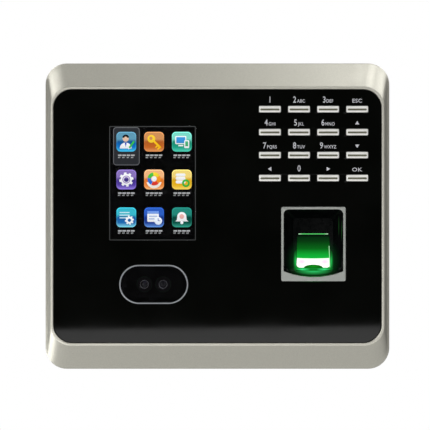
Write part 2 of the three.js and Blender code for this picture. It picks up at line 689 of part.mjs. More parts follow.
function coverCutters() {
  const counterbores = corners(BOSS_X, BOSS_Z, (x, z) =>
    rod(SCREW_HEAD_R + GAP, 0, FLOOR_BACK + SCREW_SINK + SCREW_HEAD_T + 0.2, x, z));
  const bores = corners(BOSS_X, BOSS_Z, (x, z) => rod(SCREW_R + GAP, 0, SPLIT_DEPTH, x, z));
  // A hook goes in through the lower part of its slot and then slides up behind the floor.
  const slotH = HOOK_RISE + HOOK_T + 2 * GAP;
  const slotTop = HOOK_T + GAP;
  const slots = corners(HOOK_X, HOOK_Z, (x, z) =>
    box(HOOK_W + 2 * GAP, slotH, 0, FLOOR_FRONT + 1, x, z + slotTop - slotH / 2));
  const bay = slab(roundedShape(BAY_W, BAY_H, BAY_R), 0, FLOOR_FRONT + 1, BAY_X, BAY_Z);
  const lipNotch = box(LIP_W + 2 * GAP, PLATE_T + 2 * GAP, 0, FLOOR_FRONT + 1, 0, LIP_BOTTOM + PLATE_T / 2);
  const plungerHole = rod(PLUNGER_HEAD_R + 2 * GAP, 0, FLOOR_FRONT + 1, TAMPER_X, TAMPER_Z);
  const lockBore = upright(SCREW_R + GAP, COVER_BOTTOM - 1, COVER_BOTTOM_INSIDE + 1, 0, LOCK_DEPTH);
  const lockSeat = COVER_BOTTOM + SCREW_HEAD_T + 0.2;
  const lockHead = upright(SCREW_HEAD_R + GAP, COVER_BOTTOM - 1, lockSeat, 0, LOCK_DEPTH);
  const flapSeat = box(
    FLAP_W + 2 * GAP, 2 * FLAP_RECESS,
    USB_MID - FLAP_H / 2 - GAP, USB_MID + FLAP_H / 2 + GAP, USB_X, COVER_BOTTOM);
  const usbHole = box(
    USB_W + 2 * GAP, 8,
    USB_MID - USB_T / 2 - GAP, USB_MID + USB_T / 2 + GAP, USB_X, COVER_BOTTOM);
  const grille = Array.from({ length: GRILLE_SLOTS }, (_, slot) => {
    const x = SPEAKER_X + (slot - (GRILLE_SLOTS - 1) / 2) * GRILLE_PITCH;
    return box(GRILLE_SLOT, 8, SPEAKER_MID - 2.6, SPEAKER_MID + 2.6, x, COVER_BOTTOM);
  });
  const repeated = [...counterbores, ...bores, ...slots, ...grille];
  return [...repeated, bay, lipNotch, plungerHole, lockBore, lockHead, flapSeat, usbHole];
}

function rearCover() {
  const rect = (set, depth) => ring(WIDTH - 2 * set, HEIGHT - 2 * set, Math.max(CORNER_R - set, 2), depth);
  const tongue = COVER_FRONT + TONGUE_LENGTH;
  const shell = loft([
    rect(COVER_INSIDE, FLOOR_FRONT),
    rect(COVER_INSIDE, tongue),
    rect(COVER_INSIDE - TONGUE_WALL, tongue),
    rect(COVER_INSIDE - TONGUE_WALL, COVER_FRONT),
    rect(SEAM_STEP, COVER_FRONT),
    rect(SEAM_STEP, FOOT_DEPTH + FOOT_CHAMFER),
    rect(FOOT_SET, FOOT_DEPTH),
    rect(FOOT_SET + FOOT_WIDTH, FOOT_DEPTH),
    rect(FOOT_SET + FOOT_WIDTH, FLOOR_BACK),
  ]);
  const bosses = corners(BOSS_X, BOSS_Z, (x, z) => rod(BOSS_R, FLOOR_FRONT - 0.5, COVER_FRONT, x, z));
  const pegs = corners(MAIN_W / 2 - PEG_INSET, MAIN_H / 2 - PEG_INSET, (x, z) =>
    rod(PEG_R, FLOOR_FRONT - 0.5, MAIN_BACK - GAP, MAIN_X + x, z));
  return cut(join(shell, [...bosses, ...pegs]), coverCutters());
}

// ---------------------------------------------------------------- wall plate and screws

function wallPlate() {
  const sheet = slab(roundedShape(PLATE_W, PLATE_H, PLATE_R), 0, PLATE_T);
  const riseBack = FLOOR_FRONT + GAP;
  const legs = corners(HOOK_X, HOOK_Z, (x, z) =>
    box(HOOK_W, HOOK_T, 0.5, riseBack + HOOK_T, x, z + HOOK_T / 2));
  const rises = corners(HOOK_X, HOOK_Z, (x, z) =>
    box(HOOK_W, HOOK_RISE + HOOK_T, riseBack, riseBack + HOOK_T, x, z + (HOOK_RISE + HOOK_T) / 2));
  const tab = box(LIP_W, 12, 0, PLATE_T, 0, LIP_BOTTOM + 6);
  const lip = box(LIP_W, PLATE_T, 0.5, PLATE_T + LIP_LENGTH, 0, LIP_BOTTOM + PLATE_T / 2);
  const anchors = corners(PLATE_W / 2 - ANCHOR_INSET, PLATE_H / 2 - ANCHOR_INSET, (x, z) =>
    rod(ANCHOR_HOLE_R, -1, PLATE_T + 1, x, z));
  const opening = roundedShape(BAY_W - 2 * BAY_MARGIN, BAY_H - 2 * BAY_MARGIN, BAY_R);
  const lockHole = upright(SCREW_R + GAP, LIP_BOTTOM - 1, LIP_BOTTOM + PLATE_T + 1, 0, LOCK_DEPTH);
  const cableHole = slab(opening, -1, PLATE_T + 1, BAY_X, BAY_Z);
  return cut(join(sheet, [...legs, ...rises, tab, lip]), [...anchors, cableHole, lockHole]);
}

// A pan-head screw with its head at the back and its point towards the front.
function housingScrew() {
  const back = FLOOR_BACK + SCREW_SINK;
  const headFront = back + SCREW_HEAD_T;
  return join(rod(SCREW_HEAD_R, back, headFront), [rod(SCREW_R, back + 0.5, headFront + SCREW_LENGTH)]);
}

function lockScrew() {
  const bottom = COVER_BOTTOM + 0.1;
  const top = bottom + SCREW_HEAD_T - GAP;
  const head = upright(SCREW_HEAD_R, bottom, top, 0, LOCK_DEPTH);
  return join(head, [upright(SCREW_R, bottom + 0.5, top + LOCK_SCREW_LENGTH, 0, LOCK_DEPTH)]);
}

// ---------------------------------------------------------------- boards, sockets and leads

// A socket standing on the main board's back, with its mouth towards the wall.
function socket(w, h, mouthW, mouthH, deep) {
  const body = box(w, h, JACK_BACK, MAIN_BACK - GAP);
  return cut(body, [box(mouthW, mouthH, JACK_BACK - 1, JACK_BACK + deep)]);
}

function terminalBlock() {
  const body = box(TERMINAL_W, TERMINAL_H, JACK_BACK, MAIN_BACK - GAP);
  const pitch = TERMINAL_W / TERMINAL_WAYS;
  const holes = Array.from({ length: TERMINAL_WAYS }, (_, way) => {
    const x = (way - (TERMINAL_WAYS - 1) / 2) * pitch;
    return rod(TERMINAL_HOLE_R, JACK_BACK - 1, JACK_BACK + TERMINAL_DEEP, x);
  });
  return cut(body, holes);
}

// A small speaker lying on the bottom wall, with its cone facing the grille.
function speaker() {
  const bottom = COVER_BOTTOM_INSIDE + GAP;
  const back = SPEAKER_MID - SPEAKER_DEEP / 2;
  const front = SPEAKER_MID + SPEAKER_DEEP / 2;
  const body = box(SPEAKER_W, SPEAKER_T, back, front);
  const cone = box(SPEAKER_W - 4, 2, back + 1, front - 1);
  cone.translate(0, 0, -SPEAKER_T / 2);
  return cut(body, [cone]).translate(0, 0, bottom + SPEAKER_T / 2);
}

function usbPort() {
  const low = USB_MOUTH;
  const high = USB_MOUTH + USB_LENGTH;
  const shell = box(USB_W, USB_LENGTH, USB_MID - USB_T / 2, USB_MID + USB_T / 2, 0, (low + high) / 2);
  const cavity = box(
    USB_W - 2 * USB_SHELL, USB_LENGTH,
    USB_MID - USB_T / 2 + USB_SHELL, USB_MID + USB_T / 2 - USB_SHELL, 0, (low + high) / 2 - 1.5);
  const tongueBottom = low + USB_TONGUE_SET;
  const tongue = box(
    USB_W - 2 * USB_SHELL - 1.4, high - tongueBottom,
    USB_MID + USB_T / 2 - USB_SHELL - 0.4 - USB_TONGUE, USB_MID + USB_T / 2 - USB_SHELL - 0.4,
    0, (high + tongueBottom) / 2);
  return join(cut(shell, [cavity]), [tongue]);
}

// Rubber flap over the USB port, lying flush in its seat.
function usbCover() {
  const shape = roundedShape(FLAP_W, FLAP_H, FLAP_R);
  const settings = { depth: FLAP_T, bevelEnabled: false, curveSegments: ARC_STEPS };
  return new THREE.ExtrudeGeometry(shape, settings).translate(0, -USB_MID, COVER_BOTTOM);
}

function tamperSwitch() {
  const front = MAIN_BACK - GAP;
  const body = box(TAMPER_SIZE, TAMPER_SIZE, front - TAMPER_T, front);
  const bore = rod(PLUNGER_R + GAP, 0, front - TAMPER_T + 4);
  return cut(body, [bore]);
}

// The plunger's head rests on the wall plate. Its stem slides in the switch.
function tamperPlunger() {
  const back = PLATE_T + GAP;
  const headFront = back + PLUNGER_HEAD_T;
  const stemFront = MAIN_BACK - GAP - TAMPER_T + 4 - GAP - PLUNGER_TRAVEL;
  return join(rod(PLUNGER_HEAD_R, back, headFront), [rod(PLUNGER_R, headFront - 0.5, stemFront)]);
}

// ---------------------------------------------------------------- the terminal

add("front_frame", frontFrame(), silverPaint);
add("front_panel", frontPanel(), blackAcrylic);
add("panel_adhesive", panelAdhesive(), foamTape);
add("rear_cover", rearCover(), blackPlastic);
add("wall_plate", wallPlate(), sheetSteel);
add("lock_screw", lockScrew(), screwSteel);
corners(BOSS_X, BOSS_Z, (x, z) => [x, z]).forEach(([x, z], number) => {
  add(`housing_screw_${number + 1}`, housingScrew(), screwSteel, x, z);
});

const glass = box(GLASS_W, GLASS_H, BULKHEAD_FRONT - GLASS_T, BULKHEAD_FRONT);
add("lcd_glass", glass, screenGlass, SCREEN_X, GLASS_Z);
const backlight = box(GLASS_W, GLASS_H, BACKLIGHT_FRONT - BACKLIGHT_T, BACKLIGHT_FRONT);
add("lcd_backlight", backlight, whitePlastic, SCREEN_X, GLASS_Z);
add("lcd_frame", screenPan(), sheetSteel, SCREEN_X, GLASS_Z);

const KEY_NAMES = [
  "key_1", "key_2", "key_3", "key_esc",
  "key_4", "key_5", "key_6", "key_up",
  "key_7", "key_8", "key_9", "key_down",
  "key_left", "key_0", "key_right", "key_ok",
];
eachKey((x, z, number) => add(KEY_NAMES[number], keyCap(), brightPlate, KEYPAD_X + x, KEYPAD_Z + z));
add("keypad_mat", keypadMat(), silicone, KEYPAD_X, KEYPAD_Z);
const KEYPAD_BOARD_FRONT = MAT_BACK - GAP;
const keypadBoard = box(
  KEYPAD_W + 2 * MAT_BORDER, KEYPAD_H + 2 * MAT_BORDER,
  KEYPAD_BOARD_FRONT - BOARD_T, KEYPAD_BOARD_FRONT);
add("keypad_board", keypadBoard, boardGreen, KEYPAD_X, KEYPAD_Z);

add("fingerprint_bezel", readerBezel(), brightPlate, READER_X, READER_Z);
add("fingerprint_well", readerWell(), blackPlastic, READER_X, READER_Z);
add("fingerprint_prism", prismBlock(0, PRISM_T, PRISM_PROUD), litGlass, READER_X, READER_Z);
add("fingerprint_board", readerBoard(), boardGreen, READER_X, READER_Z);
const lampBack = READER_BOARD_FRONT + GAP;
const lamp = box(LAMP_W, LAMP_H, lampBack, lampBack + LAMP_T, 0, LAMP_Z);
add("fingerprint_lamp", lamp, lampWhite, READER_X, READER_Z);

add("camera_trim_ring", cameraRing(), brightPlate, CAMERA_X, CAMERA_Z);
[["left", -LENS_SPREAD], ["right", LENS_SPREAD]].forEach(([side, x]) => {
  add(`camera_barrel_${side}`, cameraBarrel(), blackPlastic, CAMERA_X + x, CAMERA_Z);
  add(`camera_lens_${side}`, cameraLens(), lensGlass, CAMERA_X + x, CAMERA_Z);
});
const cameraBoard = box(CAMERA_BOARD_W, CAMERA_BOARD_H, CAMERA_BOARD_FRONT - BOARD_T, CAMERA_BOARD_FRONT);
add("camera_board", cameraBoard, boardGreen, CAMERA_X, CAMERA_Z);

add("main_board", box(MAIN_W, MAIN_H, MAIN_BACK, MAIN_FRONT), boardGreen, MAIN_X, 0);
add("processor", box(CHIP_SIZE, CHIP_SIZE, MAIN_SIDE, MAIN_SIDE + CHIP_T), chipBlack, MAIN_X, CHIP_Z);
add("coin_cell", rod(CELL_R, MAIN_SIDE, MAIN_SIDE + CELL_T), screwSteel, CELL_X, CELL_Z);
const relay = box(RELAY_W, RELAY_H, MAIN_BACK - GAP - RELAY_T, MAIN_BACK - GAP);
add("relay", relay, terminalGreen, RELAY_X, RELAY_Z);
const ethernet = socket(ETHERNET_W, ETHERNET_H, ETHERNET_MOUTH_W, ETHERNET_MOUTH_H, ETHERNET_DEEP);
add("ethernet_jack", ethernet, sheetSteel, ETHERNET_X, JACK_Z);
const power = socket(POWER_W, POWER_H, POWER_W - 2 * POWER_WALL, POWER_H - 2 * POWER_WALL, POWER_DEEP);
add("power_socket", power, whitePlastic, POWER_X, JACK_Z);
add("terminal_block", terminalBlock(), terminalGreen, TERMINAL_X, JACK_Z);
add("speaker", speaker(), chipBlack, SPEAKER_X, 0);
add("usb_port", usbPort(), sheetSteel, USB_X, 0);
add("usb_cover", usbCover(), blackRubber, USB_X, 0);
add("tamper_switch", tamperSwitch(), chipBlack, TAMPER_X, TAMPER_Z);
add("tamper_plunger", tamperPlunger(), whitePlastic, TAMPER_X, TAMPER_Z);

// Leads held between two boards along their whole length, as [x, depth, z] points.
const RIBBON_T = 0.4;
const RIBBON_BEND = 1.0; // depth run off square before a ribbon slopes away
const PAD_RIBBON_W = 10.0;
const PAD_RIBBON_IN = 6.0; // main board's right edge to the ribbon's middle
const PAD_RIBBON_UP = 9.2; // above the keypad board's lower edge
const PAD_RIBBON_DOWN = 6.8; // below it
const LCD_RIBBON_W = 14.0;
const LCD_RIBBON_UP = 13.6; // above the screen tray's lower edge
const LCD_RIBBON_DOWN = 1.6;
const CAMERA_RIBBON_W = 8.0;
const CAMERA_RIBBON_UP = 3.0; // below the camera board's middle
const CAMERA_RIBBON_DOWN = 12.0;
const LEAD_R = 0.7;
const LEAD_END = 0.4; // as END, for a round lead
const LEAD_BEND = 3.0; // run and depth of a round lead's first and last slopes
const READER_LEAD_IN = 6.2; // its end on the reader board, right of the well's left side
const READER_LEAD_OUT = 3.8; // its end on the main board, left of that side
const SPEAKER_LEAD_X = 6.0; // its end on the speaker, right of the speaker's middle
const SPEAKER_LEAD_RISE = 5.0; // straight up from the speaker before it turns
const SPEAKER_LEAD_SIDE = 2.0; // sideways and forward run of that turn
const SPEAKER_LEAD_UP = 6.0; // its end on the main board, above the board's lower edge
const END = 0.3; // a lead's ends stop this far from what they join

// A ribbon from one board down to another behind it, each end given as [depth, z].
function flex(w, x, [fromDepth, fromZ], [toDepth, toZ]) {
  const step = (toZ - fromZ) / 3;
  return strip(w, RIBBON_T, [
    [x, fromDepth - END, fromZ],
    [x, fromDepth - END - RIBBON_BEND, fromZ + step],
    [x, toDepth + END + RIBBON_BEND, toZ - step],
    [x, toDepth + END, toZ],
  ]);
}

const padBack = KEYPAD_BOARD_FRONT - BOARD_T - GAP;
const padLow = KEYPAD_Z - KEYPAD_H / 2 - MAT_BORDER;
const padRibbonX = MAIN_RIGHT - PAD_RIBBON_IN;
add("keypad_ribbon", flex(
  PAD_RIBBON_W, padRibbonX,
  [padBack, padLow + PAD_RIBBON_UP], [MAIN_SIDE, padLow - PAD_RIBBON_DOWN]), ribbonFilm);

const panBack = PAN_FLOOR_FRONT - PAN_WALL - GAP;
const panLow = GLASS_Z - PAN_H / 2;
add("lcd_ribbon", flex(
  LCD_RIBBON_W, SCREEN_X,
  [panBack, panLow + LCD_RIBBON_UP], [MAIN_SIDE, panLow + LCD_RIBBON_DOWN]), ribbonFilm);

const cameraBack = CAMERA_BOARD_FRONT - BOARD_T - GAP;
add("camera_cable", flex(
  CAMERA_RIBBON_W, CAMERA_X,
  [cameraBack, CAMERA_Z - CAMERA_RIBBON_UP], [MAIN_SIDE, CAMERA_Z - CAMERA_RIBBON_DOWN]), ribbonFilm);

const readerBack = READER_BOARD_FRONT - BOARD_T - GAP;
const readerLeft = READER_X - WELL_W / 2;
add("fingerprint_cable", lead(LEAD_R, [
  [readerLeft + READER_LEAD_IN, readerBack - LEAD_END, READER_Z],
  [readerLeft + READER_LEAD_IN - LEAD_BEND, readerBack - LEAD_BEND, READER_Z],
  [readerLeft - READER_LEAD_OUT + LEAD_BEND, readerBack - LEAD_BEND, READER_Z],
  [readerLeft - READER_LEAD_OUT, MAIN_BACK - GAP - LEAD_END, READER_Z],
]), blackRubber);

const speakerTop = COVER_BOTTOM_INSIDE + GAP + SPEAKER_T;
const leadX = SPEAKER_X + SPEAKER_LEAD_X;
const mainLow = -MAIN_H / 2;
add("speaker_leads", lead(LEAD_R, [
  [leadX, SPEAKER_MID, speakerTop + GAP],
  [leadX, SPEAKER_MID, speakerTop + SPEAKER_LEAD_RISE],
  [leadX + SPEAKER_LEAD_SIDE, SPEAKER_MID + SPEAKER_LEAD_SIDE, mainLow + SPEAKER_LEAD_SIDE],
  [leadX + SPEAKER_LEAD_SIDE, MAIN_BACK - GAP - END, mainLow + SPEAKER_LEAD_UP],
]), blackRubber);

export default terminal;
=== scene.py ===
"""Looks of a wall-mounted fingerprint terminal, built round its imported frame.

Metres. The front faces -Y and +Z is up. A "depth" is a distance out from the wall, so y = -depth.
"""

import math
from collections import namedtuple

import bmesh
import bpy
from mathutils import Matrix, Vector

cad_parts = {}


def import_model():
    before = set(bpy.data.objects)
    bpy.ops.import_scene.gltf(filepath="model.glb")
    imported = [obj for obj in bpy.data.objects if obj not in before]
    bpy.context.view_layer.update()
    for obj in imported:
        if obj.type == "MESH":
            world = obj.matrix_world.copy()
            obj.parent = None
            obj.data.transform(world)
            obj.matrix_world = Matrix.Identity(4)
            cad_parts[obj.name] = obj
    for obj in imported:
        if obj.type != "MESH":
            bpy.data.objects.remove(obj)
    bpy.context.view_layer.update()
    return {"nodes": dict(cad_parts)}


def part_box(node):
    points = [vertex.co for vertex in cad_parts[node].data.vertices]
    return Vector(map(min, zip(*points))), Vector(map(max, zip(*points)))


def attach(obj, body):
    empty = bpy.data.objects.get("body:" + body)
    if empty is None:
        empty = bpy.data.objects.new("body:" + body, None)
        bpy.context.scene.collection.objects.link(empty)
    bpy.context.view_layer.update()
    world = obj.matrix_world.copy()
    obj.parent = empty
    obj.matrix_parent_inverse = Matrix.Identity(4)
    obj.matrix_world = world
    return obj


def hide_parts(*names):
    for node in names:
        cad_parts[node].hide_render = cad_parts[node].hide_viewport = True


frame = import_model()

MM = 0.001
BODY = "terminal"

# ---- places taken from the frame

Span = namedtuple("Span", "x z w h back front")


def span(node):
    """A CAD node's middle in x and z, its width and height, and the y of its back and front."""
    low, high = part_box(node)
    middle = (low + high) / 2
    return Span(middle.x, middle.z, high.x - low.x, high.z - low.z, high.y, low.y)


FRAME = span("front_frame")
PANEL = span("front_panel")
SCREEN_GLASS = span("lcd_glass")
BEZEL = span("fingerprint_bezel")
WELL = span("fingerprint_well")
RING = span("camera_trim_ring")

# ---- sizes that only the looks need

GAP = 0.3 * MM  # between the panel and whatever sits in it or round it
PRINT_T = 0.03 * MM  # thickness of a printed mark
WINDOW_GAP = 0.02 * MM  # window insert to panel
SCREEN_W = 42.0 * MM
SCREEN_H = 55.5 * MM
GLASS_BORDER = 4.0 * MM  # dark glass round the lit area
SCREEN_X = SCREEN_GLASS.x
SCREEN_Z = SCREEN_GLASS.z + SCREEN_GLASS.h / 2 - GLASS_BORDER - SCREEN_H / 2
RING_W = 0.72 * MM

# ---- outlines in x and z


def arc(x, z, r, start, end, steps):
    """Points on a circle from one angle to another, in degrees."""
    turns = [math.radians(start + (end - start) * i / steps) for i in range(steps + 1)]
    return [(x + r * math.cos(a), z + r * math.sin(a)) for a in turns]


def rounded(w, h, r, x=0.0, z=0.0, steps=8):
    """A rounded rectangle, anticlockwise seen from the front."""
    dx, dz = w / 2 - r, h / 2 - r
    return (
        arc(x + dx, z - dz, r, -90, 0, steps)
        + arc(x + dx, z + dz, r, 0, 90, steps)
        + arc(x - dx, z + dz, r, 90, 180, steps)
        + arc(x - dx, z - dz, r, 180, 270, steps)
    )


def ellipse(half_w, half_h, x, z, start, end):
    """Points on an ellipse from one angle to another, in degrees."""
    return [(x + px * half_w, z + pz * half_h) for px, pz in arc(0, 0, 1, start, end, 24)]


def disc(r, x=0.0, z=0.0, steps=28):
    return arc(x, z, r, 0, 360, steps)[:-1]


def bar(x0, z0, x1, z1):
    return [(x0, z0), (x1, z0), (x1, z1), (x0, z1)]


def stadium(w, h, x, z):
    return rounded(w, h, h / 2 - 0.01 * MM, x, z, steps=20)


def turned(points, degrees, x, z):
    """The outline turned about its own origin and then moved."""
    c, s = math.cos(math.radians(degrees)), math.sin(math.radians(degrees))
    return [(x + px * c - pz * s, z + px * s + pz * c) for px, pz in points]


# ---- mesh building


def new_object(name, data):
    obj = bpy.data.objects.new(name, data)
    bpy.context.scene.collection.objects.link(obj)
    return obj


def as_object(name, mesh, smooth_angle=35):
    mesh.name = name
    mesh.polygons.foreach_set("use_smooth", [True] * len(mesh.polygons))
    mesh.set_sharp_from_angle(angle=math.radians(smooth_angle))
    obj = new_object(name, mesh)
    flatten = obj.modifiers.new("flat faces stay flat", "WEIGHTED_NORMAL")
    flatten.keep_sharp = True
    flatten.weight = 100
    return obj


def evaluated_mesh(obj):
    """The mesh that an object shows with its modifiers; the object itself is then removed."""
    graph = bpy.context.evaluated_depsgraph_get()
    mesh = bpy.data.meshes.new_from_object(obj.evaluated_get(graph))
    bpy.data.objects.remove(obj)
    return mesh


def stand_up(mesh, y):
    """Turns a mesh drawn in the XY plane to face the front, with its middle at y."""
    mesh.transform(Matrix.Translation((0, y, 0)) @ Matrix.Rotation(math.pi / 2, 4, "X"))


def fresh(bm):
    """A new mesh from this one, whose generated coordinates follow its own box."""
    mesh = bpy.data.meshes.new("fresh")
    bm.to_mesh(mesh)
    bm.free()
    return mesh


def weld(mesh):
    bm = bmesh.new()
    bm.from_mesh(mesh)
    bmesh.ops.remove_doubles(bm, verts=bm.verts, dist=1e-7)
    bmesh.ops.recalc_face_normals(bm, faces=bm.faces)
    return fresh(bm)


def slab_mesh(outlines, back, front, bevel=0.0):
    """A plate with the first outline outside and the others as holes, and its edges rounded."""
    curve = bpy.data.curves.new("slab", "CURVE")
    curve.dimensions = "2D"
    curve.fill_mode = "BOTH"
    for number, outline in enumerate(outlines):
        points = outline if number == 0 else outline[::-1]
        spline = curve.splines.new("POLY")
        spline.points.add(len(points) - 1)
        for point, (x, z) in zip(spline.points, points):
            point.co = (x, z, 0, 1)
        spline.use_cyclic_u = True
    curve.bevel_depth = bevel
    curve.bevel_resolution = 2
    curve.offset = -bevel
    curve.extrude = (back - front) / 2 - bevel
    mesh = evaluated_mesh(new_object("slab", curve))
    stand_up(mesh, (back + front) / 2)
    return weld(mesh)


def joined(meshes):
    """One mesh holding all of these."""
    bm = bmesh.new()
    for mesh in meshes:
        bm.from_mesh(mesh)
    return fresh(bm)


def loft_mesh(rings, closed=False):
    """A skin through rings of points with equal counts: capped at both ends, or closed on itself."""
    count = len(rings[0])
    bm = bmesh.new()
    rows = [[bm.verts.new(point) for point in ring] for ring in rings]
    pairs = list(zip(rows, rows[1:] + rows[:1])) if closed else list(zip(rows, rows[1:]))
    for near, far in pairs:
        for i in range(count):
            j = (i + 1) % count
            bm.faces.new((near[i], far[i], far[j], near[j]))
    if not closed:
        bm.faces.new(rows[0])
        bm.faces.new(rows[-1][::-1])
    bmesh.ops.recalc_face_normals(bm, faces=bm.faces)
    return fresh(bm)


def level(outline, y):
    """An outline as a ring of points at one y."""
    return [Vector((x, y, z)) for x, z in outline]


def put(name, mesh, material, body=BODY, replaces=None, smooth_angle=50):
    """A piece made from a mesh: its look, the body it rides, and the CAD node it stands for."""
    obj = as_object(name, mesh, smooth_angle)
    obj.data.materials.clear()
    obj.data.materials.append(material)
    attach(obj, body)
    if replaces:
        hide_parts(replaces)


# ---- materials


def srgb(r, g, b):
    """A colour as seen on a screen, 0 to 255, as the linear values that shaders take."""
    def linear(value):
        share = value / 255
        return share / 12.92 if share <= 0.04045 else ((share + 0.055) / 1.055) ** 2.4
    return tuple(linear(value) for value in (r, g, b))


def set_sockets(node, sockets):
    """Sets a node's inputs, whose names are given with _ for each space."""
    for socket, value in sockets.items():
        node.inputs[socket.replace("_", " ")].default_value = value


def add_node(owner, kind, **sockets):
    """A new shader node of that kind in a material or world."""
    node = owner.node_tree.nodes.new("ShaderNode" + kind)
    set_sockets(node, sockets)
    return node


def link(owner, output, node, socket):
    owner.node_tree.links.new(output, node.inputs[socket])


def principled(material):
    return material.node_tree.nodes["Principled BSDF"]


def shader(name, color, roughness, metallic=0.0, **sockets):
    """A Principled material. Extra inputs are given with _ for each space in their names."""
    material = bpy.data.materials.new(name)
    material.use_nodes = True
    plain = {"Base_Color": (*color, 1), "Roughness": roughness, "Metallic": metallic}
    set_sockets(principled(material), {**plain, **sockets})
    return material


def noise(material, size, detail=2.0, stretch=(1, 1, 1)):
    """The value of a noise whose features are about as large as size, in metres."""
    where = add_node(material, "TexCoord")
    mapping = add_node(material, "Mapping", Scale=[factor / size for factor in stretch])
    texture = add_node(material, "TexNoise", Scale=1.0, Detail=detail)
    link(material, where.outputs["Object"], mapping, "Vector")
    link(material, mapping.outputs["Vector"], texture, "Vector")
    return texture.outputs["Fac"]


def grain(material, size, height, stretch=(1, 1, 1)):
    """Fine relief on the surface: a noise of that feature size and height, in metres."""
    bump = add_node(material, "Bump", Distance=height, Strength=1.0)
    link(material, noise(material, size, stretch=stretch), bump, "Height")
    link(material, bump.outputs["Normal"], principled(material), "Normal")
    return material


def ramp(material, source, stops):
    """A colour ramp fed by a 0 to 1 value; stops are (position, colour)."""
    node = add_node(material, "ValToRGB")
    elements = node.color_ramp.elements
    while len(elements) < len(stops):
        elements.new(0.5)
    for element, (position, color) in zip(elements, stops):
        element.position = position
        element.color = (*color, 1)
    link(material, source, node, "Fac")
    return node.outputs["Color"]


PATCH_DETAIL = 3.0
PATCH_LOW, PATCH_HIGH = 0.3, 0.7  # the part of the noise's range that is used


def mottle(material, size, low, high, stretch=(1, 1, 1)):
    """Lets the base colour wander between two colours over patches of that size."""
    patches = noise(material, size, PATCH_DETAIL, stretch)
    color = ramp(material, patches, [(PATCH_LOW, low), (PATCH_HIGH, high)])
    link(material, color, principled(material), "Base Color")
    return material


def patchy_gloss(material, size, low, high):
    """Lets the roughness wander between two values over patches of that size."""
    spread = add_node(material, "MapRange", From_Min=PATCH_LOW, From_Max=PATCH_HIGH,
                      To_Min=low, To_Max=high)
    link(material, noise(material, size, PATCH_DETAIL), spread, "Value")
    link(material, spread.outputs["Result"], principled(material), "Roughness")
    return material


def scaled(color, factor):
    return tuple(channel * factor for channel in color)


def silver_paint():
    base = srgb(196, 194, 182)
    material = shader("silver_paint", base, 0.36, 0.55, Coat_Weight=0.15, Coat_Roughness=0.25)
    mottle(material, 0.35 * MM, scaled(base, 0.9), scaled(base, 1.08))
    patchy_gloss(material, 6 * MM, 0.33, 0.4)
    return grain(material, 0.16 * MM, 0.003 * MM)


def black_acrylic():
    material = shader("black_acrylic", srgb(5, 6, 4), 0.05, IOR=1.49)
    mottle(material, 25 * MM, srgb(3, 4, 2), srgb(8, 9, 7))
    patchy_gloss(material, 18 * MM, 0.03, 0.045)
    return grain(material, 9 * MM, 0.0006 * MM)


def bright_plate(name="bright_plate", color=srgb(244, 243, 238), metallic=0.25):
    material = shader(name, color, 0.34, metallic)
    streaks = (0.15, 1, 1)
    mottle(material, 0.3 * MM, scaled(color, 0.94), scaled(color, 1.02), streaks)
    patchy_gloss(material, 1.5 * MM, 0.3, 0.4)
    return grain(material, 0.4 * MM, 0.0008 * MM, streaks)


def moulded(name, color, roughness, texture=0.25 * MM, height=0.012 * MM):
    """Moulded plastic or rubber with a fine spark texture."""
    material = shader(name, color, roughness)
    mottle(material, 4 * MM, scaled(color, 0.85), scaled(color, 1.2))
    patchy_gloss(material, 7 * MM, roughness - 0.06, roughness + 0.06)
    return grain(material, texture, height)


def sheet_steel():
    base = srgb(176, 178, 178)
    material = shader("sheet_steel", base, 0.36, 0.95)
    mottle(material, 7 * MM, scaled(base, 0.93), scaled(base, 1.03))
    patchy_gloss(material, 9 * MM, 0.34, 0.4)
    return grain(material, 0.5 * MM, 0.002 * MM, (0.12, 1, 1))


def circuit_board():
    material = shader("circuit_board", srgb(20, 88, 48), 0.32, Coat_Weight=0.4)
    mottle(material, 2.2 * MM, srgb(14, 66, 36), srgb(34, 112, 62))
    return grain(material, 1.4 * MM, 0.03 * MM)


def reader_black():
    material = shader("reader_black", srgb(4, 5, 5), 0.16, Specular_IOR_Level=0.06)
    mottle(material, 5 * MM, srgb(2, 4, 4), srgb(7, 9, 9))
    patchy_gloss(material, 2 * MM, 0.12, 0.22)
    return grain(material, 0.4 * MM, 0.002 * MM)


def clear_glass(name, tint, ior=1.49):
    material = shader(name, tint, 0.0, IOR=ior, Transmission_Weight=1.0)
    return grain(material, 12 * MM, 0.0004 * MM)


def screen_black():
    """The unlit screen, which reflects nothing of its own as it is bonded to the window."""
    material = shader("screen_black", srgb(5, 5, 6), 0.5, Specular_IOR_Level=0.02)
    return mottle(material, 12 * MM, srgb(4, 4, 5), srgb(7, 7, 8))


def lens_glass():
    material = shader("lens_glass", srgb(16, 14, 26), 0.04, Coat_Weight=1.0, Coat_Roughness=0.02)
    return mottle(material, 1.4 * MM, srgb(8, 8, 14), srgb(34, 28, 52))


UNLIT = (0.0015, 0.0015, 0.0015)  # under a glow, so that it keeps its colour
NO_SHINE = 0.02


def glowing(name, stops, strength=1.0, axis="Z", roughness=0.2):
    """A lit surface whose colour runs along one axis of the piece's own box, from 0 to 1."""
    material = shader(name, UNLIT, roughness, Specular_IOR_Level=NO_SHINE, Emission_Strength=strength)
    where = add_node(material, "TexCoord")
    split = add_node(material, "SeparateXYZ")
    link(material, where.outputs["Generated"], split, "Vector")
    link(material, ramp(material, split.outputs[axis], stops), principled(material), "Emission Color")
    return material


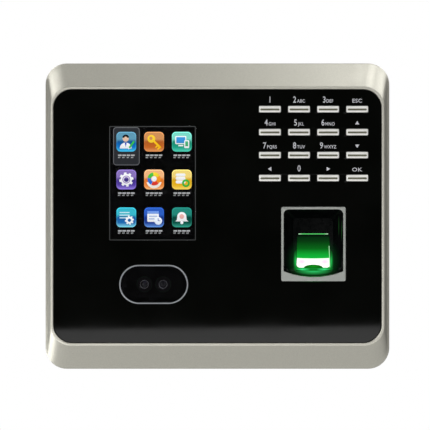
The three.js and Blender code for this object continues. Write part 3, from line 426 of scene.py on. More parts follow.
def add_haze(material, stops, middle, reach):
    """Light whose colour runs from 1 at a point to 0 at a reach, as shares of the piece's own box."""
    where = add_node(material, "TexCoord")
    shift = (-middle[0] / reach[0], 0, -middle[1] / reach[1])
    centred = add_node(material, "Mapping", Location=shift, Scale=(1 / reach[0], 0, 1 / reach[1]))
    link(material, where.outputs["Generated"], centred, "Vector")
    ball = add_node(material, "TexGradient")
    ball.gradient_type = "SPHERICAL"
    link(material, centred.outputs["Vector"], ball, "Vector")
    link(material, ramp(material, ball.outputs["Fac"], stops), principled(material), "Emission Color")
    set_sockets(principled(material), {"Emission_Strength": 1.0})
    return material


def haze(name, stops, middle=(0.5, 0.5), reach=(0.5, 0.5)):
    """A dark surface lit like that."""
    material = shader(name, UNLIT, 0.3, Specular_IOR_Level=NO_SHINE)
    return add_haze(material, stops, middle, reach)


SILVER = silver_paint()
ACRYLIC = black_acrylic()
PLATE = bright_plate()
BEZEL_PLATE = bright_plate("bezel_plate", srgb(166, 169, 164), 0.45)
RING_PLATE = bright_plate("ring_plate", srgb(150, 154, 158), 0.5)
LENS_PLATE = bright_plate("lens_plate", srgb(246, 246, 250), 0.2)
# Black plastic for the housing parts; on the key flanges it also stands for the shade in the gap round
# each cap, as painted shade.
BLACK_PLASTIC_AND_GAP_SHADE = moulded("black_plastic", srgb(44, 45, 46), 0.5)
RUBBER = moulded("black_rubber", srgb(38, 38, 38), 0.75, 0.4 * MM, 0.006 * MM)
FOAM = moulded("foam_tape", srgb(26, 26, 26), 0.9, 0.3 * MM, 0.04 * MM)
SILICONE = moulded("silicone", srgb(140, 143, 141), 0.7)
WHITE_PLASTIC = moulded("white_plastic", srgb(226, 226, 220), 0.45)
GREEN_PLASTIC = moulded("green_plastic", srgb(44, 124, 72), 0.45)
CHIP = moulded("chip_epoxy", srgb(30, 30, 30), 0.55)
FILM = moulded("ribbon_film", srgb(176, 116, 54), 0.35, 1.0 * MM, 0.004 * MM)
STEEL = sheet_steel()
BOARD = circuit_board()
PRINT = moulded("grey_print", srgb(206, 206, 212), 0.5, 0.15 * MM, 0.002 * MM)
# A darker grey laid at the bottom of each key's groove: painted shade, where the groove's own shadow
# falls.
PAINTED_GROOVE_SHADE = moulded("painted_groove_shade", srgb(96, 96, 76), 0.5, 0.15 * MM, 0.002 * MM)
LENS = lens_glass()
SCREEN_BLACK = screen_black()

# ---- front frame

CORNER_STEPS = 14


def uneven_outline(side, band, radius):
    """The frame's outline drawn in by one amount at the sides and another at top and bottom."""
    return rounded(FRAME.w - 2 * side, FRAME.h - 2 * band, radius, steps=CORNER_STEPS)


def frame_outline(inset, radius):
    return uneven_outline(inset, inset, radius)


INNER_R = 9.0 * MM  # corner of the frame's opening
SHOULDER = 7.0 * MM  # face to the outer end of the slopes
SHOULDER_INSET = 0.8 * MM
SLOPE_START = 1.45 * MM  # outwards from the opening
SLOPE_DROP = 0.2 * MM
SLOPE_STEPS = 5
FIRST_SHARE = 0.04  # of the slope, taken by its soft start
FRAME_WALL = 2.0 * MM
# Rows of the rim: outwards from the opening, corner radius and depth behind the face, in mm.
RIM_ROWS = [(0.0, 9.0, 2.2), (0.0, 9.0, 0.45), (0.06, 9.05, 0.22), (0.2, 9.15, 0.06),
            (0.4, 9.25, 0.0), (1.1, 9.6, 0.0), (1.3, 9.7, 0.06), (1.4, 9.75, 0.2)]
# Rows of the outer edge: inset, corner radius and depth behind the slopes' end, in mm.
EDGE_ROWS = [(0.28, 10.0, 0.26), (0.06, 10.2, 0.52), (0.0, 10.3, 0.85)]


def front_frame():
    """One moulding: a flat rim round the panel, sloped bands outside it, side walls behind."""
    front, back = FRAME.front, FRAME.back
    rim, shoulder = front + SLOPE_DROP, front + SHOULDER
    side, band = (FRAME.w - PANEL.w) / 2 - GAP, (FRAME.h - PANEL.h) / 2 - GAP
    rings = [level(uneven_outline(side - out * MM, band - out * MM, radius * MM), front + depth * MM)
             for out, radius, depth in RIM_ROWS]
    for i in range(SLOPE_STEPS + 1):
        share = FIRST_SHARE + (1 - FIRST_SHARE) * i / SLOPE_STEPS
        insets = [(edge - SLOPE_START) * (1 - share) + SHOULDER_INSET * share for edge in (side, band)]
        radius = (9.7 - 0.2 * share) * MM
        rings.append(level(uneven_outline(*insets, radius), rim + (shoulder - rim) * share))
    rings += [level(frame_outline(inset * MM, radius * MM), shoulder + depth * MM)
              for inset, radius, depth in EDGE_ROWS]
    rings += [
        level(frame_outline(0.0, 10.3 * MM), back - 0.3 * MM),
        level(frame_outline(0.3 * MM, 10.0 * MM), back),
        level(frame_outline(FRAME_WALL, 8.3 * MM), back),
        level(frame_outline(FRAME_WALL, 8.3 * MM), shoulder + 1.0 * MM),
        level(uneven_outline(side, band, INNER_R), rim + 4.6 * MM),
    ]
    mesh = loft_mesh(rings, closed=True)
    put("frame_moulding", mesh, SILVER, replaces="front_frame", smooth_angle=28)


def frame_web():
    """The web across the frame behind the panel, with windows for what stands through it."""
    tape = span("panel_adhesive")
    front = tape.back + GAP
    side, band = (FRAME.w - PANEL.w - GAP) / 2, (FRAME.h - PANEL.h - GAP) / 2
    outlines = [uneven_outline(side, band, INNER_R + 0.1 * MM)]
    for node in ("lcd_frame", "keypad_mat", "fingerprint_well"):
        hole = span(node)
        outlines.append(rounded(hole.w + 2 * GAP, hole.h + 2 * GAP, 1.0 * MM, hole.x, hole.z))
    for side in ("left", "right"):
        barrel = span("camera_barrel_" + side)
        outlines.append(disc(barrel.w / 2 + GAP, barrel.x, barrel.z))
    mesh = slab_mesh(outlines, front + 2.0 * MM, front, 0.1 * MM)
    put("frame_web", mesh, FOAM, smooth_angle=40)


# ---- front panel and what is set in it

KEYS = [
    [("key_1", "1", ""), ("key_2", "2", "ABC"), ("key_3", "3", "DEF"), ("key_esc", "", "ESC")],
    [("key_4", "4", "GHI"), ("key_5", "5", "JKL"), ("key_6", "6", "MNO"), ("key_up", "up", "")],
    [("key_7", "7", "PQRS"), ("key_8", "8", "TUV"), ("key_9", "9", "WXYZ"), ("key_down", "down", "")],
    [("key_left", "left", ""), ("key_0", "0", ""), ("key_right", "right", ""), ("key_ok", "", "OK")],
]
KEY_R = 0.5 * MM
KEY_LIP_X = 0.5 * MM  # retaining flange beyond the cap
KEY_LIP_Z = 0.8 * MM
KEY_W = span("key_1").w - 2 * KEY_LIP_X
KEY_H = span("key_1").h - 2 * KEY_LIP_Z
WINDOW_W = SCREEN_W + 0.5 * MM
WINDOW_H = SCREEN_H + 0.5 * MM
WINDOW_R = 0.6 * MM
BONDED_IOR = 1.33  # its two faces together reflect what one face of the panel does


def front_panel():
    """The gloss sheet, pierced for the keys, the reader, the screen and the camera window."""
    outlines = [rounded(PANEL.w, PANEL.h, INNER_R, PANEL.x, PANEL.z, CORNER_STEPS)]
    for row in KEYS:
        for node, _, _ in row:
            key = span(node)
            outlines.append(rounded(KEY_W + 2 * GAP, KEY_H + 2 * GAP, KEY_R + GAP, key.x, key.z, 4))
    outlines.append(rounded(BEZEL.w + 2 * GAP, BEZEL.h + 2 * GAP, 1.2 * MM, BEZEL.x, BEZEL.z))
    outlines.append(stadium(RING.w + 0.1 * MM, RING.h + 0.1 * MM, RING.x, RING.z))
    sheet = slab_mesh(outlines, PANEL.back, PANEL.front, 0.03 * MM)
    window = rounded(WINDOW_W, WINDOW_H, WINDOW_R, SCREEN_X, SCREEN_Z)
    sheet = carved(sheet, slab_mesh([window], PANEL.back + MM, PANEL.front - MM))
    put("gloss_panel", sheet, ACRYLIC, replaces="front_panel")


def window_insert():
    """The clear part of the same sheet, over the screen."""
    gap = 2 * WINDOW_GAP
    outline = rounded(WINDOW_W - gap, WINDOW_H - gap, WINDOW_R, SCREEN_X, SCREEN_Z)
    mesh = slab_mesh([outline], PANEL.back, PANEL.front, 0.005 * MM)
    put("screen_window", mesh, clear_glass("clear_window", (1, 1, 1), BONDED_IOR))


def camera_ring():
    """The light ring in the panel round the camera window."""
    outer = stadium(RING.w, RING.h, RING.x, RING.z)
    inner = stadium(RING.w - 2 * RING_W, RING.h - 2 * RING_W, RING.x, RING.z)
    mesh = slab_mesh([outer, inner], RING.back, RING.front, 0.3 * MM)
    put("window_ring", mesh, RING_PLATE, replaces="camera_trim_ring")


def camera_window():
    """Smoked sheet inside the ring, with the two barrels seen dimly behind it."""
    inset = 2 * (RING_W + 0.05 * MM)
    outline = stadium(RING.w - inset, RING.h - inset, RING.x, RING.z)
    mesh = slab_mesh([outline], PANEL.back, PANEL.front, 0.02 * MM)
    put("camera_window", mesh, clear_glass("smoked_window", srgb(160, 160, 164)))


GLASS_SHARE = 0.82  # of the lens node's radius, with the nose round it
CROWN = 0.55 * MM
CROWN_ROWS = 7
CROWN_START = 8  # degrees
NOSE = 1.2 * MM
NOSE_BORE = 0.86  # of its radius


def lens(node, barrel_node):
    """A domed lens in a short nose, flush in the front of its barrel."""
    spot = span(node)
    barrel = span(barrel_node)
    steps = 40
    radius = spot.w / 2
    glass = radius * GLASS_SHARE
    rings = []
    for i in range(CROWN_ROWS):
        share = i / (CROWN_ROWS - 1)
        r = glass * math.sin(math.radians(CROWN_START + (90 - CROWN_START) * share))
        fall = CROWN * (1 - math.cos(math.pi / 2 * share))
        rings.append(level(disc(r, spot.x, spot.z, steps), spot.front + fall))
    rings.append(level(disc(glass, spot.x, spot.z, steps), spot.back))
    put(node + "_glass", loft_mesh(rings), LENS, replaces=node, smooth_angle=60)
    outlines = [disc(radius, spot.x, spot.z, steps), disc(radius * NOSE_BORE, spot.x, spot.z, steps)]
    nose = slab_mesh(outlines, barrel.front + NOSE, barrel.front - 0.02 * MM, 0.08 * MM)
    put(node + "_nose", nose, LENS_PLATE, smooth_angle=35)


# ---- keys and their legends

KEY_FACE = 1.0 * MM  # above the panel
GROOVE_W = 0.92 * MM
GROOVE_DEEP = 0.35 * MM
GROOVE_DROP = 0.15 * MM  # below the key's middle
PLAIN_END = 0.6 * MM  # of the key, past each end of the groove
# Rows of the cap's crown: inset and depth behind the face, in mm.
CAP_ROWS = [(0.0, 0.3), (0.03, 0.24), (0.1, 0.16), (0.22, 0.11), (0.6, 0.04), (1.0, 0.01), (1.3, 0.0)]


def key_bar(node):
    """A plated bar: crowned face with soft edges, a groove along it with a grey strip of painted shade at
    its bottom, and a flange behind whose black is painted shade in the gap round the cap.
    """
    key = span(node)
    face = PANEL.front - KEY_FACE

    def cap_outline(inset):
        radius = max(KEY_R - inset / 3, 0.1 * MM)
        return rounded(KEY_W - 2 * inset, KEY_H - 2 * inset, radius, key.x, key.z, 5)

    def groove(shorter, wide, radius):
        length = KEY_W - 2 * PLAIN_END - shorter * MM
        return rounded(length, GROOVE_W * wide, GROOVE_W * radius, key.x, key.z - GROOVE_DROP, 5)

    flange_front = PANEL.back + GAP
    outline = rounded(key.w, key.h, 0.3 * MM, key.x, key.z, 5)
    flange = slab_mesh([outline], key.back, flange_front, 0.08 * MM)
    # The flange's black stands for the shade in the gap round the cap: painted shade.
    put(node + "_flange", flange, BLACK_PLASTIC_AND_GAP_SHADE, body=node, smooth_angle=35)
    cap = loft_mesh([level(cap_outline(0.0), flange_front - 0.01 * MM)]
                    + [level(cap_outline(inset * MM), face + depth * MM) for inset, depth in CAP_ROWS])
    cutter = loft_mesh([
        level(groove(0.0, 1.25, 0.6), face - MM),
        level(groove(0.0, 1.25, 0.6), face - 0.02 * MM),
        level(groove(0.2, 0.7, 0.3), face + GROOVE_DEEP * 0.8),
        level(groove(0.4, 0.3, 0.12), face + GROOVE_DEEP),
    ])
    mesh = carved(cap, cutter)
    put(node + "_bar", mesh, PLATE, body=node, replaces=node, smooth_angle=38)
    # Grey strip down the groove: painted shade.
    groove_shade_strip = slab_mesh([groove(0.25, 1.0, 0.4)], face + GROOVE_DEEP, face + 0.12 * MM, 0.04 * MM)
    put(node + "_inlay", groove_shade_strip, PAINTED_GROOVE_SHADE, body=node)


def carved(mesh, cutter):
    """The first mesh with the second cut out of it."""
    target = new_object("target", mesh)
    tool = new_object("tool", cutter)
    modifier = target.modifiers.new("cut", "BOOLEAN")
    modifier.object = tool
    modifier.operation = "DIFFERENCE"
    modifier.solver = "EXACT"
    result = evaluated_mesh(target)
    bpy.data.objects.remove(tool)
    return weld(result)


CAPITAL_SHARE = 0.73  # of the built-in font's size


def lettering(text, height, x, z, squeeze):
    """Plain lettering on the panel with its baseline at z, starting at x; gives its mesh and width."""
    font = bpy.data.curves.new("lettering", "FONT")
    font.body = text
    font.size = height / CAPITAL_SHARE
    font.extrude = PRINT_T / 2
    font.offset = 0.008 * font.size
    font.resolution_u = 3
    font.space_character = 1.06
    mesh = evaluated_mesh(new_object("lettering", font))
    xs = [vertex.co.x for vertex in mesh.vertices]
    width = (max(xs) - min(xs)) * squeeze
    mesh.transform(Matrix.Translation((x, z, 0)) @ Matrix.Diagonal((squeeze, 1, 1, 1))
                   @ Matrix.Translation((-min(xs), 0, 0)))
    stand_up(mesh, PANEL.front - PRINT_T / 2)
    return weld(mesh), width


LEGEND_RISE = 3.25 * MM  # from a key's middle to the baseline of its legend
ARROW_RISE = 1.2 * MM  # from there to an arrow's middle
DIGIT_H = 3.1 * MM
DIGIT_SQUEEZE = 0.78
LETTER_H = 1.65 * MM
LETTER_SQUEEZE = 0.86
WORD_H = 1.9 * MM
WORD_SQUEEZE = {"ESC": 1.1, "OK": 1.25}
LEGEND_GAP = 0.45 * MM
ARROW = [(-1.0 * MM, -0.7 * MM), (1.0 * MM, -0.7 * MM), (0, 1.0 * MM)]
ARROW_TURNS = {"up": 0, "left": 90, "down": 180, "right": 270}


def legend(node, sign, letters):
    """The grey mark above a key: a digit, small letters, or an arrow."""
    key = span(node)
    base = key.z + LEGEND_RISE
    if sign in ARROW_TURNS:
        spot = turned(ARROW, ARROW_TURNS[sign], key.x, base + ARROW_RISE)
        put(node + "_legend", slab_mesh([spot], PANEL.front, PANEL.front - PRINT_T), PRINT)
        return
    parts = []
    width = 0.0
    if sign:
        mesh, width = lettering(sign, DIGIT_H, 0, base, DIGIT_SQUEEZE)
        parts.append(mesh)
    if letters:
        start = width + LEGEND_GAP if sign else 0.0
        size = LETTER_H if sign else WORD_H
        mesh, run = lettering(letters, size, start, base, WORD_SQUEEZE.get(letters, LETTER_SQUEEZE))
        parts.append(mesh)
        width = start + run
    whole = joined(parts)
    whole.transform(Matrix.Translation((key.x - width / 2, 0, 0)))
    put(node + "_legend", whole, PRINT)


# ---- fingerprint reader

BORDER = 1.25 * MM
LIP_R = 2.4 * MM
SAG = 2.8 * MM
STRAIGHT_END = 13.2 * MM  # the opening's sides end this far below the reader's middle
WELL_LOW = 1.2 * MM  # fall from the well's flange to its floor at the lower end
WELL_HIGH = 5.9 * MM  # and at the upper end
WELL_TOP = 16.35 * MM
FLOOR_TOP = 12.55 * MM
TAPER = 4.4 * MM
LEAN = math.atan2(WELL_HIGH - WELL_LOW, FLOOR_TOP + STRAIGHT_END)
PRISM_DROP = 3.4 * MM  # reader's middle to the prism's middle
PRISM_H = 17.0 * MM
PRISM_TOP_W = 15.2 * MM
PRISM_LOW_W = 16.8 * MM
PRISM_DEEP = 7.5 * MM
PRISM_PROUD = 0.3 * MM  # above the well's floor
FLOOR_AT_PRISM = WELL.front + WELL_LOW + (STRAIGHT_END - PRISM_DROP) * math.tan(LEAN)


def bowed_edge(half, side):
    """The lower edge between two sides that end at that height, below the reader's middle."""
    radius = (half * half + SAG * SAG) / (2 * SAG)
    swing = math.degrees(math.asin(half / radius))
    return arc(0, side - SAG + radius, radius, -90 - swing, -90 + swing, 24)


def opening(grow=0.0):
    """The reader's opening: rounded top corners, straight sides and a bowed lower edge."""
    half = BEZEL.w / 2 - BORDER + grow
    top = BEZEL.h / 2 - BORDER + grow
    lower = bowed_edge(half, -STRAIGHT_END - grow)
    upper = (arc(half - LIP_R, top - LIP_R, LIP_R, 0, 90, 10)
             + arc(-half + LIP_R, top - LIP_R, LIP_R, 90, 180, 10))
    return [(BEZEL.x + x, BEZEL.z + z) for x, z in lower + upper]


# Rows of the surround's edges, in mm: outer ones as inset and depth behind the face, inner ones
# as growth of the opening and depth.
BEZEL_OUTER = [(0.0, 0.35), (0.05, 0.16), (0.16, 0.05), (0.35, 0.0)]
BEZEL_INNER = [(0.0, 0.3), (0.04, 0.14), (0.14, 0.04), (0.32, -0.01), (0.32, -1.0)]


def reader_bezel():
    """Plated surround with a rounded outer edge and an inner edge that dips into the well."""
    def outer(inset):
        return rounded(BEZEL.w - 2 * inset, BEZEL.h - 2 * inset, 0.9 * MM, BEZEL.x, BEZEL.z, 6)

    face_rows = [level(outer(inset * MM), BEZEL.front + depth * MM) for inset, depth in BEZEL_OUTER]
    plate = loft_mesh([level(outer(0), BEZEL.back)] + face_rows)
    cut_rows = [level(opening(grow * MM), BEZEL.front + depth * MM) for grow, depth in BEZEL_INNER]
    mesh = carved(plate, loft_mesh([level(opening(), BEZEL.back + MM)] + cut_rows))
    put("reader_surround", mesh, BEZEL_PLATE, replaces="fingerprint_bezel",
        smooth_angle=40)


def on_floor(mesh):
    """Moves a mesh drawn round (0, 0, 0) on to the well's leaning floor, at the prism's middle."""
    place_there = Matrix.Translation((BEZEL.x, FLOOR_AT_PRISM, BEZEL.z - PRISM_DROP))
    mesh.transform(place_there @ Matrix.Rotation(-LEAN, 4, "X"))
    return mesh


def prism_outline(grow=0.0):
    low, top, half = PRISM_LOW_W / 2 + grow, PRISM_TOP_W / 2 + grow, PRISM_H / 2 + grow
    return [(-low, -half), (low, -half), (top, half), (-top, half)]


WELL_HAZE_W, WELL_HAZE_H = 14 * MM, 15 * MM


def lit_well():
    """The well's black plastic, with the prism's light on it round the prism's lower end."""
    stops = [(0.0, (0, 0, 0)), (0.12, srgb(0, 12, 3)), (0.28, srgb(2, 40, 12)),
             (0.42, srgb(6, 84, 28)), (1.0, srgb(20, 140, 50))]
    lowest = WELL.z - WELL.h / 2
    middle = (0.5, (BEZEL.z - PRISM_DROP - 0.3 * PRISM_H - lowest) / WELL.h)
    return add_haze(reader_black(), stops, middle, (WELL_HAZE_W / WELL.w, WELL_HAZE_H / WELL.h))


def reader_well():
    """Black moulding with a tapering cavity, and a pocket in its leaning floor for the prism."""
    outline = rounded(WELL.w, WELL.h, 2.4 * MM, WELL.x, WELL.z, 6)
    block = slab_mesh([outline], WELL.back, WELL.front, 0.15 * MM)
    half = BEZEL.w / 2 - BORDER - 0.4 * MM

    def mouth(grow, y):
        height, middle = WELL_TOP + STRAIGHT_END + 2 * grow, BEZEL.z + (WELL_TOP - STRAIGHT_END) / 2
        return level(rounded(2 * (half + grow), height, 2.0 * MM, BEZEL.x, middle, 8), y)

    height, middle = FLOOR_TOP + STRAIGHT_END, BEZEL.z + (FLOOR_TOP - STRAIGHT_END) / 2
    floor_outline = rounded(2 * (half - TAPER), height, 2.0 * MM, BEZEL.x, middle, 8)
    floor = [Vector((x, FLOOR_AT_PRISM + (z - BEZEL.z + PRISM_DROP) * math.tan(LEAN), z))
             for x, z in floor_outline]
    edge = mouth(0, WELL.front)
    bowl = [edge]
    for share in (0.5, 0.86, 0.97):
        bowl.append([near.lerp(far, share) for near, far in zip(edge, floor)])
    cavity = loft_mesh([mouth(0.15 * MM, WELL.front - MM), mouth(0.15 * MM, WELL.front - 0.01 * MM)]
                       + bowl[1:] + [floor])
    mesh = carved(block, cavity)
    pocket = on_floor(slab_mesh([prism_outline(0.1 * MM)], WELL.back - FLOOR_AT_PRISM + MM, -2 * MM))
    mesh = carved(mesh, pocket)
    put("reader_well", mesh, lit_well(), replaces="fingerprint_well", smooth_angle=35)


def prism_glow():
    """Green light through the prism's face: dark above, bright below."""
    stops = [
        (0.0, srgb(8, 120, 30)),
        (0.34, srgb(10, 186, 60)),
        (0.44, srgb(14, 168, 50)),
        (0.6, srgb(4, 100, 22)),
        (0.8, srgb(2, 56, 12)),
        (0.9, srgb(1, 44, 12)),
        (0.94, srgb(0, 22, 6)),
        (1.0, srgb(0, 16, 4)),
    ]
    return glowing("lit_prism", stops)


BAND_RISE = 0.25 * MM  # prism's lower end to the white band's lower edge
BAND_H = 4.85 * MM
BAND_CORNER = 1.6 * MM
NOTCH_W, NOTCH_H = 9.2 * MM, 1.5 * MM
TOP_LINE_W, TOP_LINE_H = 14.4 * MM, 0.42 * MM
EDGE_LINE_H = 10.6 * MM
STRIP = 0.04 * MM  # height of a lit strip above the prism


def strip(name, outline, material, rise=STRIP):
    """A thin lit shape laid on the prism's face."""
    mesh = on_floor(slab_mesh([outline], -PRISM_PROUD, -PRISM_PROUD - rise))
    put(name, mesh, material)


def prism():
    """Glass prism in its pocket, with its lit face laid on in strips."""
    mesh = on_floor(slab_mesh([prism_outline()], PRISM_DEEP, -PRISM_PROUD, 0.12 * MM))
    put("prism_block", mesh, prism_glow(), replaces="fingerprint_prism", smooth_angle=40)
    half = PRISM_H / 2
    pale, green = srgb(196, 240, 200), srgb(90, 214, 110)
    top_glow = glowing("prism_top", [(0.0, pale), (0.14, green), (0.86, green), (1.0, pale)], axis="X")
    top = half + 0.1 * MM
    strip("prism_top_line", bar(-TOP_LINE_W / 2, top - TOP_LINE_H, TOP_LINE_W / 2, top), top_glow)
    white_band()
    edge_glow = glowing("prism_edge", [(0.0, srgb(120, 235, 140)), (1.0, srgb(190, 255, 196))])
    slope = (PRISM_LOW_W - PRISM_TOP_W) / 2 / PRISM_H
    low = -half + 0.4 * MM
    high = low + EDGE_LINE_H
    low_edge, high_edge = (PRISM_LOW_W / 2 - (z + half) * slope for z in (low, high))
    line = [(low_edge - 0.55 * MM, low), (low_edge - 0.1 * MM, low),
            (high_edge - 0.1 * MM, high), (high_edge - 0.35 * MM, high)]
    strip("prism_right_line", line, edge_glow, 0.06 * MM)


def white_band():
    """The bright band: rounded lower corners and a notch below, dipping a little above, faintly pink."""
    low, half = -PRISM_H / 2 + BAND_RISE, PRISM_LOW_W / 2 - 0.25 * MM
    upper_half = half - 5.0 * MM * (PRISM_LOW_W - PRISM_TOP_W) / 2 / PRISM_H
    outline = arc(-half + BAND_CORNER, low + BAND_CORNER, BAND_CORNER, 180, 270, 6)
    outline += ellipse(NOTCH_W / 2, NOTCH_H, 0, low, 180, 0)
    outline += arc(half - BAND_CORNER, low + BAND_CORNER, BAND_CORNER, 270, 360, 6)
    outline += ellipse(upper_half, 0.35 * MM, 0, low + BAND_H, 360, 180)
    hot = glowing("prism_band", [(0.0, srgb(238, 255, 240)), (0.25, srgb(255, 246, 250)),
                                 (0.75, srgb(255, 250, 250)), (1.0, srgb(214, 255, 216))], 1.35)
    strip("prism_white_band", outline, hot)
    blush = haze("band_blush", [(0.0, srgb(255, 253, 255)), (1.0, srgb(255, 222, 250))])
    for side, name in ((-1, "left"), (1, "right")):
        spot = ellipse(1.8 * MM, 1.2 * MM, side * 5.6 * MM, low + 2.9 * MM, 0, 360)[:-1]
        strip("band_blush_" + name, spot, blush, 0.06 * MM)
    stops = [(0.0, srgb(8, 60, 10)), (0.5, srgb(6, 130, 14)), (1.0, srgb(6, 160, 16))]
    notch = ellipse(NOTCH_W / 2 - 0.4 * MM, NOTCH_H - 0.3 * MM, 0, low, 0, 180)
    strip("prism_notch", notch, haze("notch_ember", stops), 0.02 * MM)


SIDE_GLOW_W, SIDE_GLOW_H = 1.2 * MM, 10.8 * MM
SIDE_GLOW_RISE = 3.4 * MM
FLOOR_GLOW_T = 0.06 * MM
# Each gleam on the right wall: distance in from the wall's edge, lower end and upper end, in mm.
GLEAMS = [(0.0, 1.0, 12.0), (1.3, 3.5, 14.0)]
GLEAM_W = 0.32 * MM


def floor_glow(name, outline, material):
    """A lit patch on the well's floor."""
    mesh = on_floor(slab_mesh([outline], 0, -FLOOR_GLOW_T))
    put(name, mesh, material)


def side_lights():
    """Light spilling from the prism: on to the floor beside and below it, and on the right wall."""
    stops = [(0.0, srgb(5, 70, 22)), (0.4, srgb(12, 120, 42)), (1.0, srgb(40, 214, 96))]
    edge, middle_z = PRISM_LOW_W / 2 + 0.1 * MM, -PRISM_H / 2 + SIDE_GLOW_RISE
    for side, name, middle in ((-1, "left", 1.0), (1, "right", 0.0)):
        spot = ellipse(SIDE_GLOW_W, SIDE_GLOW_H / 2, side * edge, middle_z, 90, 90 - side * 180)
        glow = haze("side_glow_" + name, stops, (middle, 0.5), (1.0, 0.5))
        floor_glow("side_light_" + name, spot[::-side], glow)
    top = -PRISM_H / 2 - 0.12 * MM
    deep = top - (-STRAIGHT_END + PRISM_DROP + 0.1 * MM)
    bright, dim, dark = srgb(58, 226, 128), srgb(12, 128, 42), srgb(2, 12, 5)
    foot = glowing("foot_glow", [(0.0, dark), (0.1, dim), (0.24, bright), (0.42, dim),
                                 (0.58, dim), (0.76, bright), (0.9, dim), (1.0, dark)], axis="X")
    floor_glow("foot_light", ellipse(PRISM_LOW_W / 2 + 2.0 * MM, deep, 0, top, 180, 360), foot)
    gleam = haze("wall_gleam", [(0.0, srgb(6, 9, 7)), (1.0, srgb(26, 84, 28))])
    wall_x = BEZEL.x + BEZEL.w / 2 - BORDER - 0.75 * MM
    for number, (inwards, low, high) in enumerate(GLEAMS):
        x = wall_x - inwards * MM
        spot = bar(x - GLEAM_W / 2, BEZEL.z + low * MM, x + GLEAM_W / 2, BEZEL.z + high * MM)
        y = WELL.front + (0.4 + inwards) * MM * (WELL_HIGH + WELL_LOW) / 2 / TAPER * 0.8
        put("wall_gleam_{}".format(number + 1), slab_mesh([spot], y, y - PRINT_T), gleam)


LIP_SIDE = 0.5 * MM  # in from the opening's sides
LIP_RISE = 0.4 * MM  # and up from its lower edge
LIP_TOP = 0.15 * MM  # above the end of the straight sides
LIP_T = 0.25 * MM


def glowing_lip():
    """The crescent below the prism, lit from above."""
    half = BEZEL.w / 2 - BORDER - LIP_SIDE
    top = -STRAIGHT_END + LIP_TOP
    crescent = [(x, z) for x, z in bowed_edge(half, -STRAIGHT_END + LIP_RISE) if z < top]
    crescent += [(half * 0.85, top), (-half * 0.85, top)]
    outline = [(BEZEL.x + x, BEZEL.z + z) for x, z in crescent]
    mesh = slab_mesh([outline], WELL.front, WELL.front - LIP_T, 0.08 * MM)
    stops = [(0.0, srgb(2, 7, 3)), (0.2, srgb(6, 34, 10)),
             (0.55, srgb(28, 140, 64)), (1.0, srgb(50, 214, 116))]
    put("reader_lip", mesh, haze("lip_glow", stops, (0.5, 1.1), (0.46, 1.2)))


# ---- small outside parts


def usb_flap():
    """Rubber flap with rounded rims."""
    low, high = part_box("usb_cover")
    middle = (low + high) / 2
    w, d = high.x - low.x, high.y - low.y

    def outline(inset):
        return rounded(w - 2 * inset, d - 2 * inset, 1.5 * MM, middle.x, middle.y, 8)

    rows = [(0.35, low.z), (0.1, low.z + 0.1 * MM), (0.0, low.z + 0.35 * MM),
            (0.0, high.z - 0.2 * MM), (0.2, high.z)]
    mesh = loft_mesh([[Vector((x, y, z)) for x, y in outline(inset * MM)] for inset, z in rows])
    put("usb_flap", mesh, RUBBER, body="usb_cover", replaces="usb_cover")


# ---- parts kept from the frame

KEPT = [
    (BLACK_PLASTIC_AND_GAP_SHADE, ("rear_cover", "camera_barrel", "relay", "power_socket", "speaker", "tamper_switch")),
    (WHITE_PLASTIC, ("lcd_backlight", "fingerprint_lamp", "tamper_plunger")),
    (GREEN_PLASTIC, ("terminal_block",)),
    (STEEL, ("wall_plate", "lock_screw", "housing_screw", "lcd_frame", "coin_cell")),
    (STEEL, ("ethernet_jack", "usb_port")),
    (BOARD, ("keypad_board", "fingerprint_board", "camera_board", "main_board")),
    (FILM, ("fingerprint_cable", "camera_cable", "keypad_ribbon", "lcd_ribbon")),
    (FOAM, ("panel_adhesive",)),
    (SILICONE, ("keypad_mat",)),
    (CHIP, ("processor",)),
    (RUBBER, ("speaker_leads",)),
    (SCREEN_BLACK, ("lcd_glass",)),
]
BROKEN_EDGE = 0.12 * MM
HARD_ANGLE = math.radians(50)


def kind(node):
    """A node's name without its side or number."""
    return node.removesuffix("_left").removesuffix("_right").rstrip("0123456789").rstrip("_")


def dress_kept():
    """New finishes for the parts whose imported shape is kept, with their hard edges broken."""
    finishes = {name: material for material, names in KEPT for name in names}
    for node, obj in frame["nodes"].items():
        if kind(node) not in finishes:
            continue
        obj.data.materials.clear()
        obj.data.materials.append(finishes[kind(node)])
        edge = obj.modifiers.new("broken edges", "BEVEL")
        edge.width = BROKEN_EDGE
        edge.segments = 2
        edge.limit_method = "ANGLE"
        edge.angle_limit = HARD_ANGLE


# ---- what the screen shows

PICTURE_Y = SCREEN_GLASS.front
LAYER = 0.06 * MM
ICON = 9.6 * MM
ICON_PITCH_X = 13.5 * MM
ICON_PITCH_Z = 18.4 * MM
ICON_SHIFT_X = 0.75 * MM
ICON_SHIFT_Z = 1.8 * MM
LABEL_DROP = 7.1 * MM
ICON_R = 2.0 * MM
RIM_LINE = 0.4 * MM  # bright edge of a tile
RIM_GLARE = 1.7  # its top, against the tile's
BLOCK_W, BLOCK_H = 1.75 * MM, 1.7 * MM  # a caption's block
BLOCK_PITCH = 2.1 * MM
BLOCK_CUT = 0.32 * MM
BLOCKS = 4
HAIRLINE = 0.3 * MM
CHOICE_W, CHOICE_H, CHOICE_R = 12.8 * MM, 18.5 * MM, 1.5 * MM
CHOICE_X, CHOICE_Z = SCREEN_X - 12.7 * MM, SCREEN_Z + 18.0 * MM

GLOW_CACHE = {}


def lit(color):
    """A screen colour, a touch brighter at its top."""
    if color not in GLOW_CACHE:
        name = "lit_{:03d}_{:03d}_{:03d}".format(*color)
        stops = [(0.0, scaled(srgb(*color), 0.88)), (1.0, scaled(srgb(*color), 1.08))]
        GLOW_CACHE[color] = glowing(name, stops, roughness=0.6)
    return GLOW_CACHE[color]


def on_screen(name, outlines, material, layer):
    back = PICTURE_Y - layer * LAYER
    put(name, slab_mesh(outlines, back, back - PRINT_T), material)


